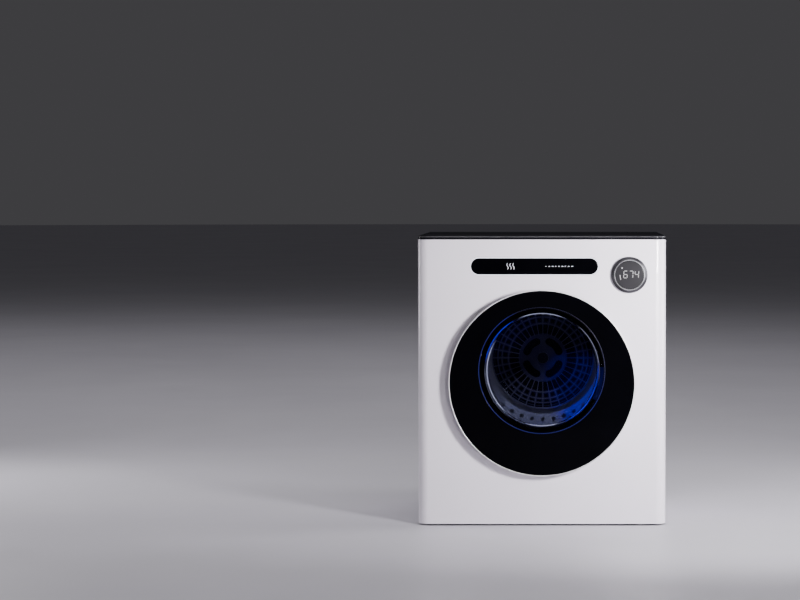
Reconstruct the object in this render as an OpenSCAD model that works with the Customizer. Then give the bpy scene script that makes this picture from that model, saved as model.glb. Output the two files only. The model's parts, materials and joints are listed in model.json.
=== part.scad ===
// Compact vented tumble dryer with a round glass door, a belt-driven drum and a turning dial.
// Millimetres. +X is to the right seen from the front, +Y to the back, +Z up. The origin is on the
// floor, midway between the door's face and the end of the exhaust collar.

/* [Cabinet] */
// Width over the side panels
case_w = 500; // [480:1:620]
// Depth from the face of the front panel to the back of the rear panel
case_d = 400; // [380:1:520]
// Height from the floor to the top
case_h = 585; // [580:1:720]
// Radius of the upright front corners
corner_r = 21.5; // [12:0.5:24]
// Depth of the front panel's wrap along the sides
wrap_d = 34; // [30:1:60]
// Gap between the floor and the lower edge of the cabinet
floor_gap = 3.5; // [3:0.5:9]
// Wall of the front panel
panel_t = 2.5; // [1.5:0.1:4]
// Sheet of the sides, the rear panel and the bulkheads
sheet_t = 1.2; // [0.8:0.1:2]
// Height of the top panel's edge
top_h = 8; // [6:0.5:20]
// Thickness of the top panel's skin
top_skin = 3; // [2:0.5:5]
// Height of the base tray's floor above the ground
tray_z = 10; // [10:1:20]
// Height of the base tray's upturned walls
tray_wall = 20; // [10:1:22]

/* [Door] */
// Outer radius of the door over its rim
door_r = 187; // [170:1:200]
// Height of the door's centre above the floor
door_z = 289.4; // [280:0.1:310]
// How far the door stands out from the front panel
door_proud = 24; // [24:0.5:34]
// Thickness of the glass cover
glass_t = 3.8; // [3:0.1:5]
// Width of the rim seen from the front
rim_w = 2.5; // [1.5:0.1:6]
// How far the glass reaches past the plastic frame behind it
frame_lip = 17; // [15:1:22]
// Width of the clear border between the bowl and the hole for the window
window_border = 14.5; // [13:0.5:16]
// Gap between the bowl and the collar that it reaches into
bowl_gap = 19.5; // [14:0.5:30]
// Depth that the bowl reaches behind the front panel's face
bowl_depth = 42; // [20:1:44]
// Wall of the glass bowl
bowl_t = 4; // [3:0.5:6]
// Distance of the hinge axis inside the door's outer edge
hinge_inset = 9; // [9:0.5:10]
// Distance of the hinge axis in front of the front panel
hinge_out = 14; // [14:0.1:14.5]
// Radius of the hinge pin
hinge_pin_r = 2.5; // [2:0.1:3]
// Radius of the hinge knuckle
knuckle_r = 4.5; // [4:0.1:4.8]

/* [Drum] */
// Outer radius of the drum
drum_r = 213; // [170:1:222]
// Height of the drum's axis above the floor
drum_z = 315; // [310:1:330]
// Depth of the drum's mouth behind the front panel's face
mouth_d = 40; // [38:1:44]
// Inner radius of the drum's mouth
mouth_r = 141.6; // [118:0.1:144]
// Thickness of the felt and the glides between the mouth and its collar
felt_t = 4.5; // [3:0.1:6]
// Wall of the collar that carries the mouth
collar_t = 2.5; // [1.5:0.1:4]
// Space behind the drum for the air ducts
duct_space = 70; // [66:1:100]
// Height of the lifters
lifter_h = 35; // [20:1:45]
// Radius of the drum's shaft
shaft_r = 9; // [6:0.5:12]

/* [Filter] */
// Outer radius of the filter cover
filter_r = 110; // [100:1:112]
// Number of radial ribs
rib_count = 36; // [24:4:48]
// Width of each rib
rib_w = 1.6; // [1.2:0.1:4]

/* [Drive] */
// Distance of the motor's axis to the right of the drum's axis
motor_x = 165; // [160:1:176]
// Height of the motor's axis above the floor
motor_z = 80; // [80:1:84]
// Radius of the motor's body
motor_r = 44; // [35:1:50]
// Radius of the motor's shaft
motor_shaft_r = 6; // [4:0.5:8]
// Radius of the motor's pulley
pulley_r = 10; // [9:0.5:20]
// Radius of the idler pulley
idler_r = 16; // [12:0.5:18]
// Width of the drive belt
belt_w = 8; // [6:0.5:12]
// Thickness of the drive belt
belt_t = 3; // [2:0.5:4]
// Radius of the blower wheel
wheel_r = 55; // [46:1:56]

/* [Exhaust] */
// Outer radius of the exhaust collar
outlet_r = 50; // [40:1:51]
// Distance that the collar stands out from the rear panel
outlet_len = 30; // [25:1:60]
// Sideways place of the collar
outlet_x = -60; // [-80:1:-58]
// Height of the collar's axis
outlet_z = 76; // [74:1:90]

/* [Controls] */
// Length of the pill-shaped display
display_w = 260; // [200:1:270]
// Height of the display
display_h = 37; // [26:1:40]
// Sideways place of the display's middle
display_x = -15; // [-40:1:-10]
// Distance of the display's middle below the top
display_drop = 62; // [50:1:70]
// Outer radius of the dial ring
dial_r = 36.5; // [32:0.5:42]
// Radius of the dial's face
face_r = 28.4; // [24:0.1:28.8]
// Sideways place of the dial
dial_x = 176; // [170:1:190]
// Distance of the dial's axis below the top
dial_drop = 79; // [60:1:84]
// How far the dial stands out from the front panel
dial_proud = 11.5; // [9:0.5:15]
// Travel of the dial's face when it is pressed
press_travel = 1.2; // [0.8:0.1:1.6]

/* [Fits] */
// Gap between pieces that are assembled but not pressed together
fit_gap = 0.3; // [0.2:0.05:0.5]
// Radial clearance of a shaft in its bore
run_gap = 0.05; // [0.02:0.01:0.1]
// Thickness of moulded duct walls
duct_t = 1.5; // [1.2:0.1:2.5]

/* [Hidden] */
$fn = 96;

// Every depth below is measured inwards from the face of the front panel.
front_y = door_proud - (door_proud + case_d + outlet_len) / 2;
half_w = case_w / 2;
side_top = case_h - top_h - fit_gap;
inner_w = half_w - panel_t - fit_gap;
frame_w = half_w - sheet_t - fit_gap;
rear_in = case_d - sheet_t;
tray_d = corner_r + 0.5;
tray_t = 1.5;
tray_top = tray_z + tray_t;
side_d = wrap_d + fit_gap;
flange_w = 14;
foot_inset = 45;
foot_r = 17;
stud_r = 4;
rail_h = 18;
rail_w = 20;

// Drum and its bearings
bulkhead_d = tray_d + tray_t + fit_gap;
bulkhead_t = 1.5;
ring_d = mouth_d + 14;
wall_end = case_d - duct_space;
drum_in = drum_r - sheet_t;
collar_out = mouth_r - felt_t - 2 * fit_gap;
collar_r = collar_out - collar_t;
collar_end = mouth_d + 16;
collar_start = 6.1;
rear_plate_d = wall_end + 16;
rear_plate_end = rear_plate_d + bulkhead_t;
duct_d = rear_plate_end + fit_gap;
duct_end = case_d - 8;
opening_r = filter_r - 10;
outlet_hole_r = filter_r - 4;
bearing_r = shaft_r + 11;
bearing_d = duct_d + 2;
bearing_len = 14;
spider_t = 3;
spider_d = wall_end + fit_gap;
hub_r = 24;
clip_r = 8;
cover_d = wall_end - sheet_t - fit_gap - 10.5;
cover_t = 2.5;

// Drive
belt_d = mouth_d + 106;
pulley_len = belt_w + 4;
center_dist = norm([motor_x, drum_z - motor_z]);
drive_angle = atan2(motor_z - drum_z, motor_x);
belt_angle = drive_angle - acos((drum_r - pulley_r) / center_dist);
belt_in = drum_r + fit_gap;
belt_pulley = pulley_r + fit_gap;
idler_offset = idler_r + belt_t + fit_gap;
belt_end = [motor_x + belt_pulley * cos(belt_angle), motor_z + belt_pulley * sin(belt_angle)];
idler_back = 78;
idler_x = belt_end.x + idler_back * sin(belt_angle) + idler_offset * cos(belt_angle);
idler_z = belt_end.y - idler_back * cos(belt_angle) + idler_offset * sin(belt_angle);
idler_bore = 4;
arm_reach = 47;
pivot_x = idler_x - arm_reach;
pivot_z = idler_z - 24;
pivot_r = 5;
arm_d = belt_d + belt_w + 4;
arm_t = 4;
motor_d = belt_d + 20;
motor_len = 96;
rotor_r = 24;
housing_r = wheel_r + 11;
housing_d = rear_plate_d - 50;
housing_depth = 50 - fit_gap;
wheel_d = housing_d + 6;
wheel_len = 34;
scroll_x = 60;
scroll_z = tray_top + 2.5;
scroll_h = 46;
leg_w = 110;
inlet_r = 38;

// Exhaust
exhaust_w = outlet_r + 5;
exhaust_top = outlet_z + exhaust_w + 1;
exhaust_low_top = scroll_z + scroll_h;
flap_r = outlet_r - 4.5;
flap_d = case_d + outlet_len - 4;
flap_drop = outlet_r - 10;

// Heater, in the upper left of the space behind the drum
heater_x = -205;
heater_w = 105;
heater_z = drum_z + 77;
heater_h = 80;

// Door, measured outwards from the front panel
door_frame_r = door_r - frame_lip;
bowl_r = collar_r - bowl_gap;
window_r = bowl_r + window_border;
hinge_x = -(door_r - hinge_inset);
rim_back = door_proud - 5;
flange_t = 0.9;
glass_back = rim_back + flange_t + fit_gap;
frame_back = 3;
frame_front = rim_back - fit_gap;
ring_w = 2.8;
lug_half = 12.5;
ear_t = 5;
striker_x = door_frame_r - 7;
striker_in = 16;
hole_r = collar_r + 16;
gasket_r = hole_r - 2;

// Controls
display_z = case_h - display_drop;
dial_z = case_h - dial_drop;
trim_w = 1.5;
stem_r = 20;
tube_r = 26.5;
board_d = 8;
encoder_d = 10;

// A plate that faces the front, from depth d inwards, drawn as x and z.
module slab(d, t) {
    translate([0, front_y + d + t, 0]) rotate([90, 0, 0]) linear_extrude(t) children();
}

// A body turned about an axis that runs from front to back. Its outline is radius and depth.
module turned(x, z, d) {
    translate([x, front_y + d, z]) rotate([-90, 0, 0]) rotate_extrude() children();
}

// A round bar that runs from front to back.
module rod(x, z, d, len, r) {
    translate([x, front_y + d, z]) rotate([-90, 0, 0]) cylinder(h = len, r = r);
}

// A box between two values of x, of depth and of height.
module box(x, d, z) {
    translate([x[0], front_y + d[0], z[0]]) cube([x[1] - x[0], d[1] - d[0], z[1] - z[0]]);
}

module ring_2d(outer, inner) {
    difference() {
        circle(outer);
        circle(inner);
    }
}

// A rectangle with full round ends.
module pill_2d(w, h) {
    square([w - h, h], center = true);
    for (s = [-1, 1]) translate([s * (w - h) / 2, 0]) circle(h / 2);
}

// Plan of the cabinet between the front and a depth, drawn smaller by inset.
module plan_2d(inset, depth) {
    intersection() {
        union() {
            translate([-half_w + corner_r, front_y + inset])
                square([case_w - 2 * corner_r, corner_r]);
            translate([-half_w + inset, front_y + corner_r])
                square([case_w - 2 * inset, depth - corner_r]);
            for (s = [-1, 1]) translate([s * (half_w - corner_r), front_y + corner_r])
                circle(corner_r - inset);
        }
        translate([-half_w, front_y]) square([case_w, depth]);
    }
}

// Cabinet -----------------------------------------------------------------------------------

module front_panel() {
    color("white") difference() {
        translate([0, 0, floor_gap]) linear_extrude(side_top - floor_gap) difference() {
            plan_2d(0, wrap_d);
            plan_2d(panel_t, wrap_d + 5);
        }
        slab(-1, panel_t + 2) {
            translate([0, drum_z]) circle(hole_r);
            translate([display_x, display_z])
                pill_2d(display_w - 1 + 2 * fit_gap, display_h - 1 + 2 * fit_gap);
            translate([dial_x, dial_z]) circle(tube_r + fit_gap);
            translate([striker_x - 5, door_z - 11]) square([12, 22]);
        }
    }
}

module side_panel(s) {
    rear_d = rear_in - fit_gap;
    color("white") translate([s * half_w, 0, 0]) mirror([s > 0 ? 1 : 0, 0, 0]) {
        box([0, sheet_t], [side_d, rear_d], [floor_gap, side_top]);
        box([0, flange_w], [rear_d - sheet_t, rear_d], [floor_gap, side_top]);
        box([0, flange_w], [side_d, side_d + sheet_t], [tray_top + 30, side_top - rail_h - 10]);
        box([0, flange_w], [side_d, rear_d], [tray_z - fit_gap - sheet_t, tray_z - fit_gap]);
    }
}

module left_side_panel() { side_panel(-1); }

module right_side_panel() { side_panel(1); }

// The places of the screws in the rear panel, as x and z.
screw_places = [
    for (s = [-1, 1]) for (k = [0 : 3]) [s * (half_w - 7), 40 + k * (side_top - 80) / 3]
];
gland_x = half_w - 60;
gland_z = case_h - 90;
gland_r = 10;
louvre_h = 4;
wall_bolt = [180, 200];
wall_bolt_z = 350;

module rear_panel() {
    color("lightgray") slab(rear_in, sheet_t) difference() {
        translate([-half_w, floor_gap]) square([case_w, side_top - floor_gap]);
        translate([outlet_x, outlet_z]) circle(outlet_r + fit_gap);
        translate([gland_x, gland_z]) circle(gland_r);
        for (p = screw_places) translate(p) circle(2.1);
        for (k = [0 : 7]) translate([heater_x - 5, heater_z + 2 + k * 10]) square([90, louvre_h]);
        for (s = [-1, 1]) for (t = [-1, 1])
            translate([s * wall_bolt.x, wall_bolt_z + t * wall_bolt.y]) circle(3.25);
    }
}

module top_panel() {
    color("black") translate([0, 0, case_h - top_h]) difference() {
        linear_extrude(top_h) plan_2d(0, case_d);
        translate([0, 0, -1]) linear_extrude(top_h - top_skin + 1) plan_2d(3, case_d - 3);
    }
}

foot_places = [
    for (s = [-1, 1]) for (d = [tray_d + foot_inset - 15, case_d - foot_inset])
        [s * (half_w - foot_inset), front_y + d]
];

module base_tray() {
    far = rear_in - fit_gap - sheet_t - fit_gap;
    color("gray") difference() {
        box([-inner_w, inner_w], [tray_d, far], [tray_z, tray_top + tray_wall]);
        box([-inner_w + tray_t, inner_w - tray_t], [tray_d + tray_t, far - tray_t],
            [tray_top, case_h]);
        for (p = foot_places) translate([p.x, p.y, 0]) cylinder(h = case_h, r = stud_r + fit_gap);
        box([outlet_x - exhaust_w - 1, scroll_x + 1], [far - 5, far + 5], [tray_top, case_h]);
    }
}

module feet() {
    nut_h = 5;
    color("dimgray") for (p = foot_places) translate([p.x, p.y, 0]) {
        cylinder(h = tray_z, r = foot_r);
        cylinder(h = tray_top + nut_h + 4, r = stud_r);
        translate([0, 0, tray_top]) cylinder(h = nut_h, r = 7, $fn = 6);
    }
}

module top_rails() {
    rail_top = side_top - 2;
    places = [
        [bulkhead_d + bulkhead_t + fit_gap, inner_w],
        [rear_plate_end + fit_gap, frame_w]
    ];
    color("silver") for (p = places) {
        box([-p[1], p[1]], [p[0], p[0] + rail_w], [rail_top - tray_t, rail_top]);
        box([-p[1], p[1]], [p[0], p[0] + tray_t], [rail_top - rail_h, rail_top]);
    }
}

// Outline of a bulkhead, which stands between the walls of the base tray.
module bulkhead_2d(half) {
    low = tray_top + fit_gap;
    step = tray_top + tray_wall + fit_gap;
    low_half = inner_w - tray_t - fit_gap;
    translate([-low_half, low]) square([2 * low_half, side_top - 4 - low]);
    translate([-half, step]) square([2 * half, side_top - 4 - step]);
}

// Drum and what carries it ------------------------------------------------------------------

lamp_w = 30;
lamp_h = 12;
lamp_d = bulkhead_d + bulkhead_t + fit_gap;

module front_bulkhead() {
    color("silver") difference() {
        union() {
            slab(bulkhead_d, bulkhead_t) difference() {
                bulkhead_2d(inner_w);
                translate([0, drum_z]) circle(collar_out - 1);
            }
            slab(collar_start, collar_end - collar_start) translate([0, drum_z])
                ring_2d(collar_out, collar_r);
        }
        box([-10, 10], [lamp_d + 3, lamp_d + 9], [drum_z + collar_r - 5, drum_z + mouth_r]);
    }
}

module drum_lamp() {
    color("lightblue") {
        box([-lamp_w / 2, lamp_w / 2], [lamp_d, lamp_d + 12],
            [drum_z + collar_out + fit_gap, drum_z + collar_out + lamp_h]);
        box([-9, 9], [lamp_d + 4, lamp_d + 8],
            [drum_z + collar_r + 0.5, drum_z + collar_out + 2]);
    }
}

module front_felt_seal() {
    color("ivory") slab(mouth_d + 6, 9) translate([0, drum_z])
        ring_2d(mouth_r - fit_gap, collar_out + fit_gap);
}

module drum_glides() {
    color("snow") slab(mouth_d + 0.5, 5) translate([0, drum_z]) intersection() {
        ring_2d(mouth_r - fit_gap, collar_out + fit_gap);
        for (a = [-130, -50]) rotate(a) translate([mouth_r, 0]) square([40, 44], center = true);
    }
}

module drum_shell() {
    color("silver") turned(0, drum_z, ring_d)
        translate([drum_in, 0]) square([sheet_t, wall_end - ring_d]);
}

module drum_front_ring() {
    lip = drum_in - fit_gap;
    color("silver") turned(0, drum_z, mouth_d) {
        translate([mouth_r, 0]) square([sheet_t, ring_d - mouth_d]);
        translate([mouth_r, ring_d - mouth_d - sheet_t]) square([lip - mouth_r, sheet_t]);
        translate([lip - sheet_t, ring_d - mouth_d - sheet_t]) square([sheet_t, 12]);
    }
}

module drum_rear_wall() {
    lip = drum_in - fit_gap;
    rows = 3;
    row_gap = (drum_r - filter_r - 40) / rows;
    color("silver") {
        slab(wall_end - sheet_t, sheet_t) translate([0, drum_z]) difference() {
            circle(lip);
            circle(opening_r);
            for (k = [0 : rows - 1]) for (a = [0 : 10 : 350])
                rotate(a + 5 * k) translate([filter_r + 24 + k * row_gap, 0]) circle(4);
        }
        slab(wall_end - 12, 12) translate([0, drum_z]) ring_2d(lip, lip - sheet_t);
    }
}

module drum_lifters() {
    half_base = 25;
    tip_r = 9;
    base_y = sqrt(pow(drum_in - fit_gap, 2) - half_base * half_base);
    tip_y = drum_in - lifter_h + tip_r;
    color("lightsteelblue") for (a = [0, 120, 240])
        slab(ring_d + 26, wall_end - ring_d - 46) translate([0, drum_z]) rotate(a) {
            polygon([[-half_base, base_y], [half_base, base_y], [tip_r - 0.5, tip_y],
                [-tip_r + 0.5, tip_y]]);
            translate([0, tip_y]) circle(tip_r);
        }
}

module drum_spider() {
    color("dimgray") {
        slab(spider_d, spider_t) translate([0, drum_z]) {
            for (a = [0, 90]) rotate(a) square([2 * (opening_r + 6), 16], center = true);
            circle(hub_r);
        }
        rod(0, drum_z, cover_d + cover_t + 2, spider_d - cover_d - cover_t - 2, clip_r);
        rod(0, drum_z, spider_d + spider_t, 8, hub_r);
        rod(0, drum_z, spider_d + spider_t + 8, duct_end - 8 - spider_d - spider_t - 8, shaft_r);
    }
}

module rear_bulkhead() {
    hot = 47;
    color("silver") slab(rear_plate_d, bulkhead_t) difference() {
        bulkhead_2d(frame_w);
        translate([0, drum_z]) circle(outlet_hole_r);
        translate([motor_x, motor_z]) circle(inlet_r);
        translate([heater_x + heater_w - hot - 3, heater_z + 6]) square([hot - 3, 40]);
        translate([outlet_x - exhaust_w - 3, 0])
            square([scroll_x - outlet_x + exhaust_w + 4, exhaust_low_top + 3]);
    }
}

module rear_felt_seals() {
    color("ivory") slab(wall_end + fit_gap, 16 - 2 * fit_gap) translate([0, drum_z]) {
        ring_2d(drum_r - 4, drum_r - 13);
        ring_2d(opening_r + 14, opening_r + 8);
    }
}

module bearing_housing() {
    color("gray") difference() {
        union() {
            slab(duct_d, 3) translate([0, drum_z]) intersection() {
                for (a = [45, 135]) rotate(a) square([3 * filter_r, 14], center = true);
                circle(outlet_hole_r + 10);
            }
            rod(0, drum_z, duct_d, bearing_len + 5, bearing_r + 7);
        }
        rod(0, drum_z, bearing_d, bearing_len + 10, bearing_r + run_gap);
        rod(0, drum_z, duct_d - 5, 20, bearing_r - 4);
    }
}

module drum_bearing() {
    groove = 1;
    color("lightsteelblue") turned(0, drum_z, bearing_d) difference() {
        translate([shaft_r + run_gap, 0]) square([bearing_r - shaft_r - run_gap, bearing_len]);
        translate([shaft_r + 4, -1]) square([bearing_r - shaft_r - 8, 1 + groove]);
        translate([shaft_r + 4, bearing_len - groove])
            square([bearing_r - shaft_r - 8, 1 + groove]);
    }
}

// Filter ------------------------------------------------------------------------------------

rib_end = filter_r - 2;
plate_r = 51;
rib_rings = [74, 88, 97];

module filter_cover() {
    color("midnightblue") {
        slab(cover_d, cover_t) translate([0, drum_z]) {
            difference() {
                circle(plate_r);
                for (a = [45 : 90 : 315]) rotate(a) kidney_2d(28, 46, 44);
            }
            ring_2d(filter_r, rib_end - 1);
            for (r = rib_rings) ring_2d(r + rib_w / 2, r - rib_w / 2);
            for (a = [0 : 360 / rib_count : 359]) rotate(a)
                translate([plate_r - 1, -rib_w / 2]) square([rib_end - plate_r + 1.5, rib_w]);
        }
        slab(cover_d + cover_t, 8) translate([0, drum_z]) {
            ring_2d(filter_r, filter_r - 2.5);
            ring_2d(clip_r + 4, clip_r + fit_gap);
        }
    }
}

// A slot between two radii that spans an angle about the x axis.
module kidney_2d(inner, outer, span) {
    reach = outer * 1.5;
    intersection() {
        ring_2d(outer, inner);
        polygon([[0, 0], [reach * cos(span / 2), -reach * sin(span / 2)],
            [reach * cos(span / 2), reach * sin(span / 2)]]);
    }
}

module filter_mesh() {
    color("darkslategray") slab(cover_d + cover_t + fit_gap, 0.8) translate([0, drum_z])
        ring_2d(filter_r - 2.5 - fit_gap, clip_r + 4 + fit_gap);
}

// Air path ----------------------------------------------------------------------------------

// Outline of the duct that leads from the drum's rear to the blower's inlet.
module air_duct_2d(inset) {
    translate([0, drum_z]) circle(outlet_hole_r + 14 - inset);
    translate([motor_x, motor_z]) circle(housing_r - inset);
    translate([0, drum_z]) rotate(drive_angle) translate([0, -leg_w / 2 + inset])
        square([center_dist, leg_w - 2 * inset]);
}

module rear_air_duct() {
    color("gainsboro") difference() {
        slab(duct_d, duct_end - duct_d) air_duct_2d(0);
        slab(duct_d - 1, duct_end - duct_d - duct_t + 1) air_duct_2d(duct_t);
    }
}

module heater_duct() {
    color("silver") difference() {
        box([heater_x, heater_x + heater_w], [duct_d, duct_end], [heater_z, heater_z + heater_h]);
        box([heater_x - 1, heater_x + heater_w - duct_t], [duct_d - 1, duct_end - duct_t],
            [heater_z + duct_t, heater_z + heater_h - duct_t]);
    }
}

module heater_element() {
    inset = duct_t + fit_gap;
    fins = 14;
    bar = 5;
    z = [heater_z + inset, heater_z + heater_h - inset];
    d = [duct_d + fit_gap, duct_end - inset];
    step = (z[1] - z[0] - 2 * bar) / fins;
    color("gold") {
        for (k = [1 : fins - 1]) box([heater_x + 14, heater_x + 38], d,
            [z[0] + bar + k * step - 0.5, z[0] + bar + k * step + 0.5]);
        for (low = [z[0], z[1] - bar]) box([heater_x + 12, heater_x + 40], d, [low, low + bar]);
        for (near = [d[0], d[1] - 2]) box([heater_x + 12, heater_x + 40], [near, near + 2], z);
    }
}

// Outline of the blower's scroll, which blows to the left.
module scroll_2d(inset) {
    translate([motor_x, motor_z]) circle(housing_r - inset);
    translate([scroll_x - (inset > 0 ? 1 : 0), scroll_z + inset])
        square([motor_x - scroll_x, scroll_h - 2 * inset]);
}

module blower_housing() {
    color("whitesmoke") difference() {
        slab(housing_d, housing_depth) scroll_2d(0);
        slab(housing_d + duct_t, housing_depth) scroll_2d(duct_t);
        rod(motor_x, motor_z, housing_d - 1, 5, motor_shaft_r + 1);
    }
}

module blower_wheel() {
    vane_count = 24;
    vane_in = 38;
    color("darkorange") difference() {
        union() {
            rod(motor_x, motor_z, wheel_d, 1.5, wheel_r);
            rod(motor_x, motor_z, wheel_d, 16, 12);
            slab(wheel_d + wheel_len - 2, 2) translate([motor_x, motor_z])
                ring_2d(wheel_r, wheel_r - 4);
            slab(wheel_d + 1, wheel_len - 2) translate([motor_x, motor_z])
                for (a = [0 : 360 / vane_count : 359]) rotate(a)
                    translate([(vane_in + wheel_r) / 2 - 1, 0]) rotate(30)
                        square([wheel_r - vane_in, 1.5], center = true);
        }
        rod(motor_x, motor_z, wheel_d - 1, 30, motor_shaft_r + run_gap);
    }
}

module exhaust_duct() {
    far = rear_in - fit_gap;
    x = [outlet_x - exhaust_w, outlet_x + exhaust_w];
    right = scroll_x - fit_gap;
    near = housing_d + 4;
    color("whitesmoke") difference() {
        union() {
            box([x[0], right], [near, far], [scroll_z, exhaust_low_top]);
            box(x, [duct_d + 2, far], [scroll_z, exhaust_top]);
        }
        box([x[0] + duct_t, right - duct_t], [near + duct_t, far - duct_t],
            [scroll_z + duct_t, exhaust_low_top - duct_t]);
        box([right - 5, right + 5], [near + duct_t, rear_plate_d - 2],
            [scroll_z + duct_t, exhaust_low_top - duct_t]);
        box([x[0] + duct_t, x[1] - duct_t], [duct_d + 2 + duct_t, far - duct_t],
            [scroll_z + duct_t, exhaust_top - duct_t]);
        rod(outlet_x, outlet_z, far - 5, 10, outlet_r + fit_gap);
    }
}

module exhaust_collar() {
    wall = 2;
    color("lightgray") turned(outlet_x, outlet_z, rear_in - 6) {
        translate([outlet_r - wall, 0]) square([wall, outlet_len + 6 + sheet_t]);
        translate([outlet_r - wall, 6 + sheet_t]) square([wall + 12, 2]);
    }
}

module backdraft_flap() {
    color("silver") {
        slab(flap_d, 1) translate([outlet_x, outlet_z]) difference() {
            circle(flap_r);
            translate([-outlet_r, flap_drop + 0.5]) square([2 * outlet_r, outlet_r]);
        }
        translate([outlet_x - 23.5, front_y + flap_d + 0.5, outlet_z + flap_drop])
            rotate([0, 90, 0]) cylinder(h = 47, r = 1.5);
    }
}

// Drive -------------------------------------------------------------------------------------

module motor_body() {
    bell = 8;
    color("darkgray") turned(motor_x, motor_z, motor_d) {
        translate([motor_shaft_r + run_gap, 0]) square([motor_r - motor_shaft_r - 10, bell]);
        translate([rotor_r + 1, bell]) square([motor_r - rotor_r - 1, motor_len - 2 * bell]);
        translate([motor_shaft_r + run_gap, motor_len - bell])
            square([motor_r - motor_shaft_r - 10, bell]);
    }
}

module motor_mount() {
    base_t = 2.5;
    half = motor_r + 8;
    floor_z = tray_top + fit_gap;
    color("slategray") difference() {
        union() {
            box([motor_x - half, motor_x + half], [motor_d + 2, motor_d + motor_len - 2],
                [floor_z, floor_z + base_t]);
            for (d = [motor_d + 12, motor_d + motor_len - 16])
                box([motor_x - half, motor_x + half], [d, d + 4], [floor_z, motor_z - 12]);
        }
        rod(motor_x, motor_z, motor_d - 10, motor_len + 20, motor_r + fit_gap);
    }
}

module motor_rotor() {
    start = belt_d - 4;
    color("silver") {
        rod(motor_x, motor_z, start, wheel_d + 22 - start, motor_shaft_r);
        rod(motor_x, motor_z, motor_d + 16, motor_len - 32, rotor_r);
    }
}

module motor_pulley() {
    lip_t = 1.5;
    color("dimgray") turned(motor_x, motor_z, belt_d - 2) {
        translate([motor_shaft_r + run_gap, 0])
            square([pulley_r - motor_shaft_r - run_gap, pulley_len]);
        for (d = [0, pulley_len - lip_t]) translate([motor_shaft_r + run_gap, d])
            square([pulley_r - motor_shaft_r + 3, lip_t]);
    }
}

// Outline of the belt's loop over the drum and the pulley, grown by a distance.
module belt_2d(grow) {
    hull() {
        translate([0, drum_z]) circle(belt_in + grow);
        translate([motor_x, motor_z]) circle(belt_pulley + grow, $fn = 32);
    }
}

module drive_belt() {
    color("black") slab(belt_d, belt_w) difference() {
        belt_2d(belt_t);
        belt_2d(0);
    }
}

module idler_arm() {
    color("slategray") {
        slab(arm_d, arm_t) difference() {
            union() {
                translate([pivot_x, pivot_z]) circle(pivot_r + 4);
                translate([idler_x, idler_z]) circle(8);
                translate([pivot_x, pivot_z]) rotate(atan2(idler_z - pivot_z, arm_reach))
                    translate([0, -6]) square([norm([arm_reach, idler_z - pivot_z]), 12]);
            }
            translate([pivot_x, pivot_z]) circle(pivot_r + run_gap);
        }
        rod(idler_x, idler_z, belt_d - 1.5, arm_d - belt_d + 1.5, idler_bore);
    }
}

module idler_pulley() {
    color("dimgray") slab(belt_d - 1, belt_w + 3) translate([idler_x, idler_z])
        ring_2d(idler_r, idler_bore + run_gap);
}

module idler_pivot() {
    plate_d = arm_d + arm_t + fit_gap;
    floor_z = tray_top + fit_gap;
    color("slategray") {
        box([pivot_x - 12, pivot_x + 12], [plate_d, plate_d + 3], [floor_z, pivot_z + 9]);
        box([pivot_x - 12, pivot_x + 12], [plate_d, plate_d + 22], [floor_z, floor_z + 3]);
        rod(pivot_x, pivot_z, arm_d - 9, plate_d - arm_d + 9, pivot_r);
    }
}

module idler_spring() {
    wire_r = 0.9;
    coils = 5;
    color("lightsteelblue") turned(pivot_x, pivot_z, arm_d - fit_gap - wire_r)
        for (k = [0 : coils - 1])
            translate([pivot_r + fit_gap + wire_r, -k * 1.6 * wire_r]) circle(wire_r, $fn = 24);
}

// Door --------------------------------------------------------------------------------------

module door_cover() {
    color("black") slab(-door_proud, glass_t) difference() {
        translate([0, door_z]) circle(door_r - rim_w - fit_gap);
        translate([0, drum_z]) circle(window_r);
    }
}

module window_light_ring() {
    color("dodgerblue") slab(-door_proud, glass_t) translate([0, drum_z])
        ring_2d(window_r - fit_gap, window_r - ring_w);
}

module door_window() {
    color([0.1, 0.1, 0.15, 0.4]) slab(-door_proud, glass_t) translate([0, drum_z])
        circle(window_r - ring_w - fit_gap);
}

module door_rim() {
    color("silver") {
        slab(-door_proud, door_proud - rim_back) translate([0, door_z])
            ring_2d(door_r, door_r - rim_w);
        slab(-rim_back - flange_t, flange_t) difference() {
            translate([0, door_z]) circle(door_r - rim_w / 2);
            translate([0, door_z]) circle(door_r - 29);
        }
    }
}

module door_frame() {
    depth = frame_front - frame_back;
    seat = bowl_t + fit_gap;
    lug_x = [hinge_x, -door_frame_r + 8];
    color("dimgray") difference() {
        union() {
            slab(-frame_front, depth) translate([0, door_z]) circle(door_frame_r);
            box(lug_x, [-hinge_out - knuckle_r, -hinge_out + knuckle_r],
                [door_z - lug_half, door_z + lug_half]);
            translate([hinge_x, front_y - hinge_out, door_z - lug_half])
                cylinder(h = 2 * lug_half, r = knuckle_r);
        }
        translate([hinge_x, front_y - hinge_out, door_z - lug_half - 1])
            cylinder(h = 2 * lug_half + 2, r = hinge_pin_r + run_gap);
        slab(-frame_front - 1, depth + 2) translate([0, drum_z]) circle(bowl_r + fit_gap);
        slab(-frame_front - 1, seat + 1) translate([0, drum_z]) circle(bowl_r + 8 + fit_gap);
    }
}

// Outline of the bowl from its edge to its middle, as radius and depth.
module bowl_2d(inset) {
    start = -frame_front + bowl_t;
    reach = bowl_depth - start - inset;
    steps = 9;
    polygon(concat([[0, start - 1], [bowl_r - inset, start - 1]], [
        for (k = [0 : steps]) let (a = 90 * k / steps)
            [(bowl_r - inset) * pow(cos(a), 0.5), start + reach * pow(sin(a), 0.7)]
    ]));
}

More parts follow.
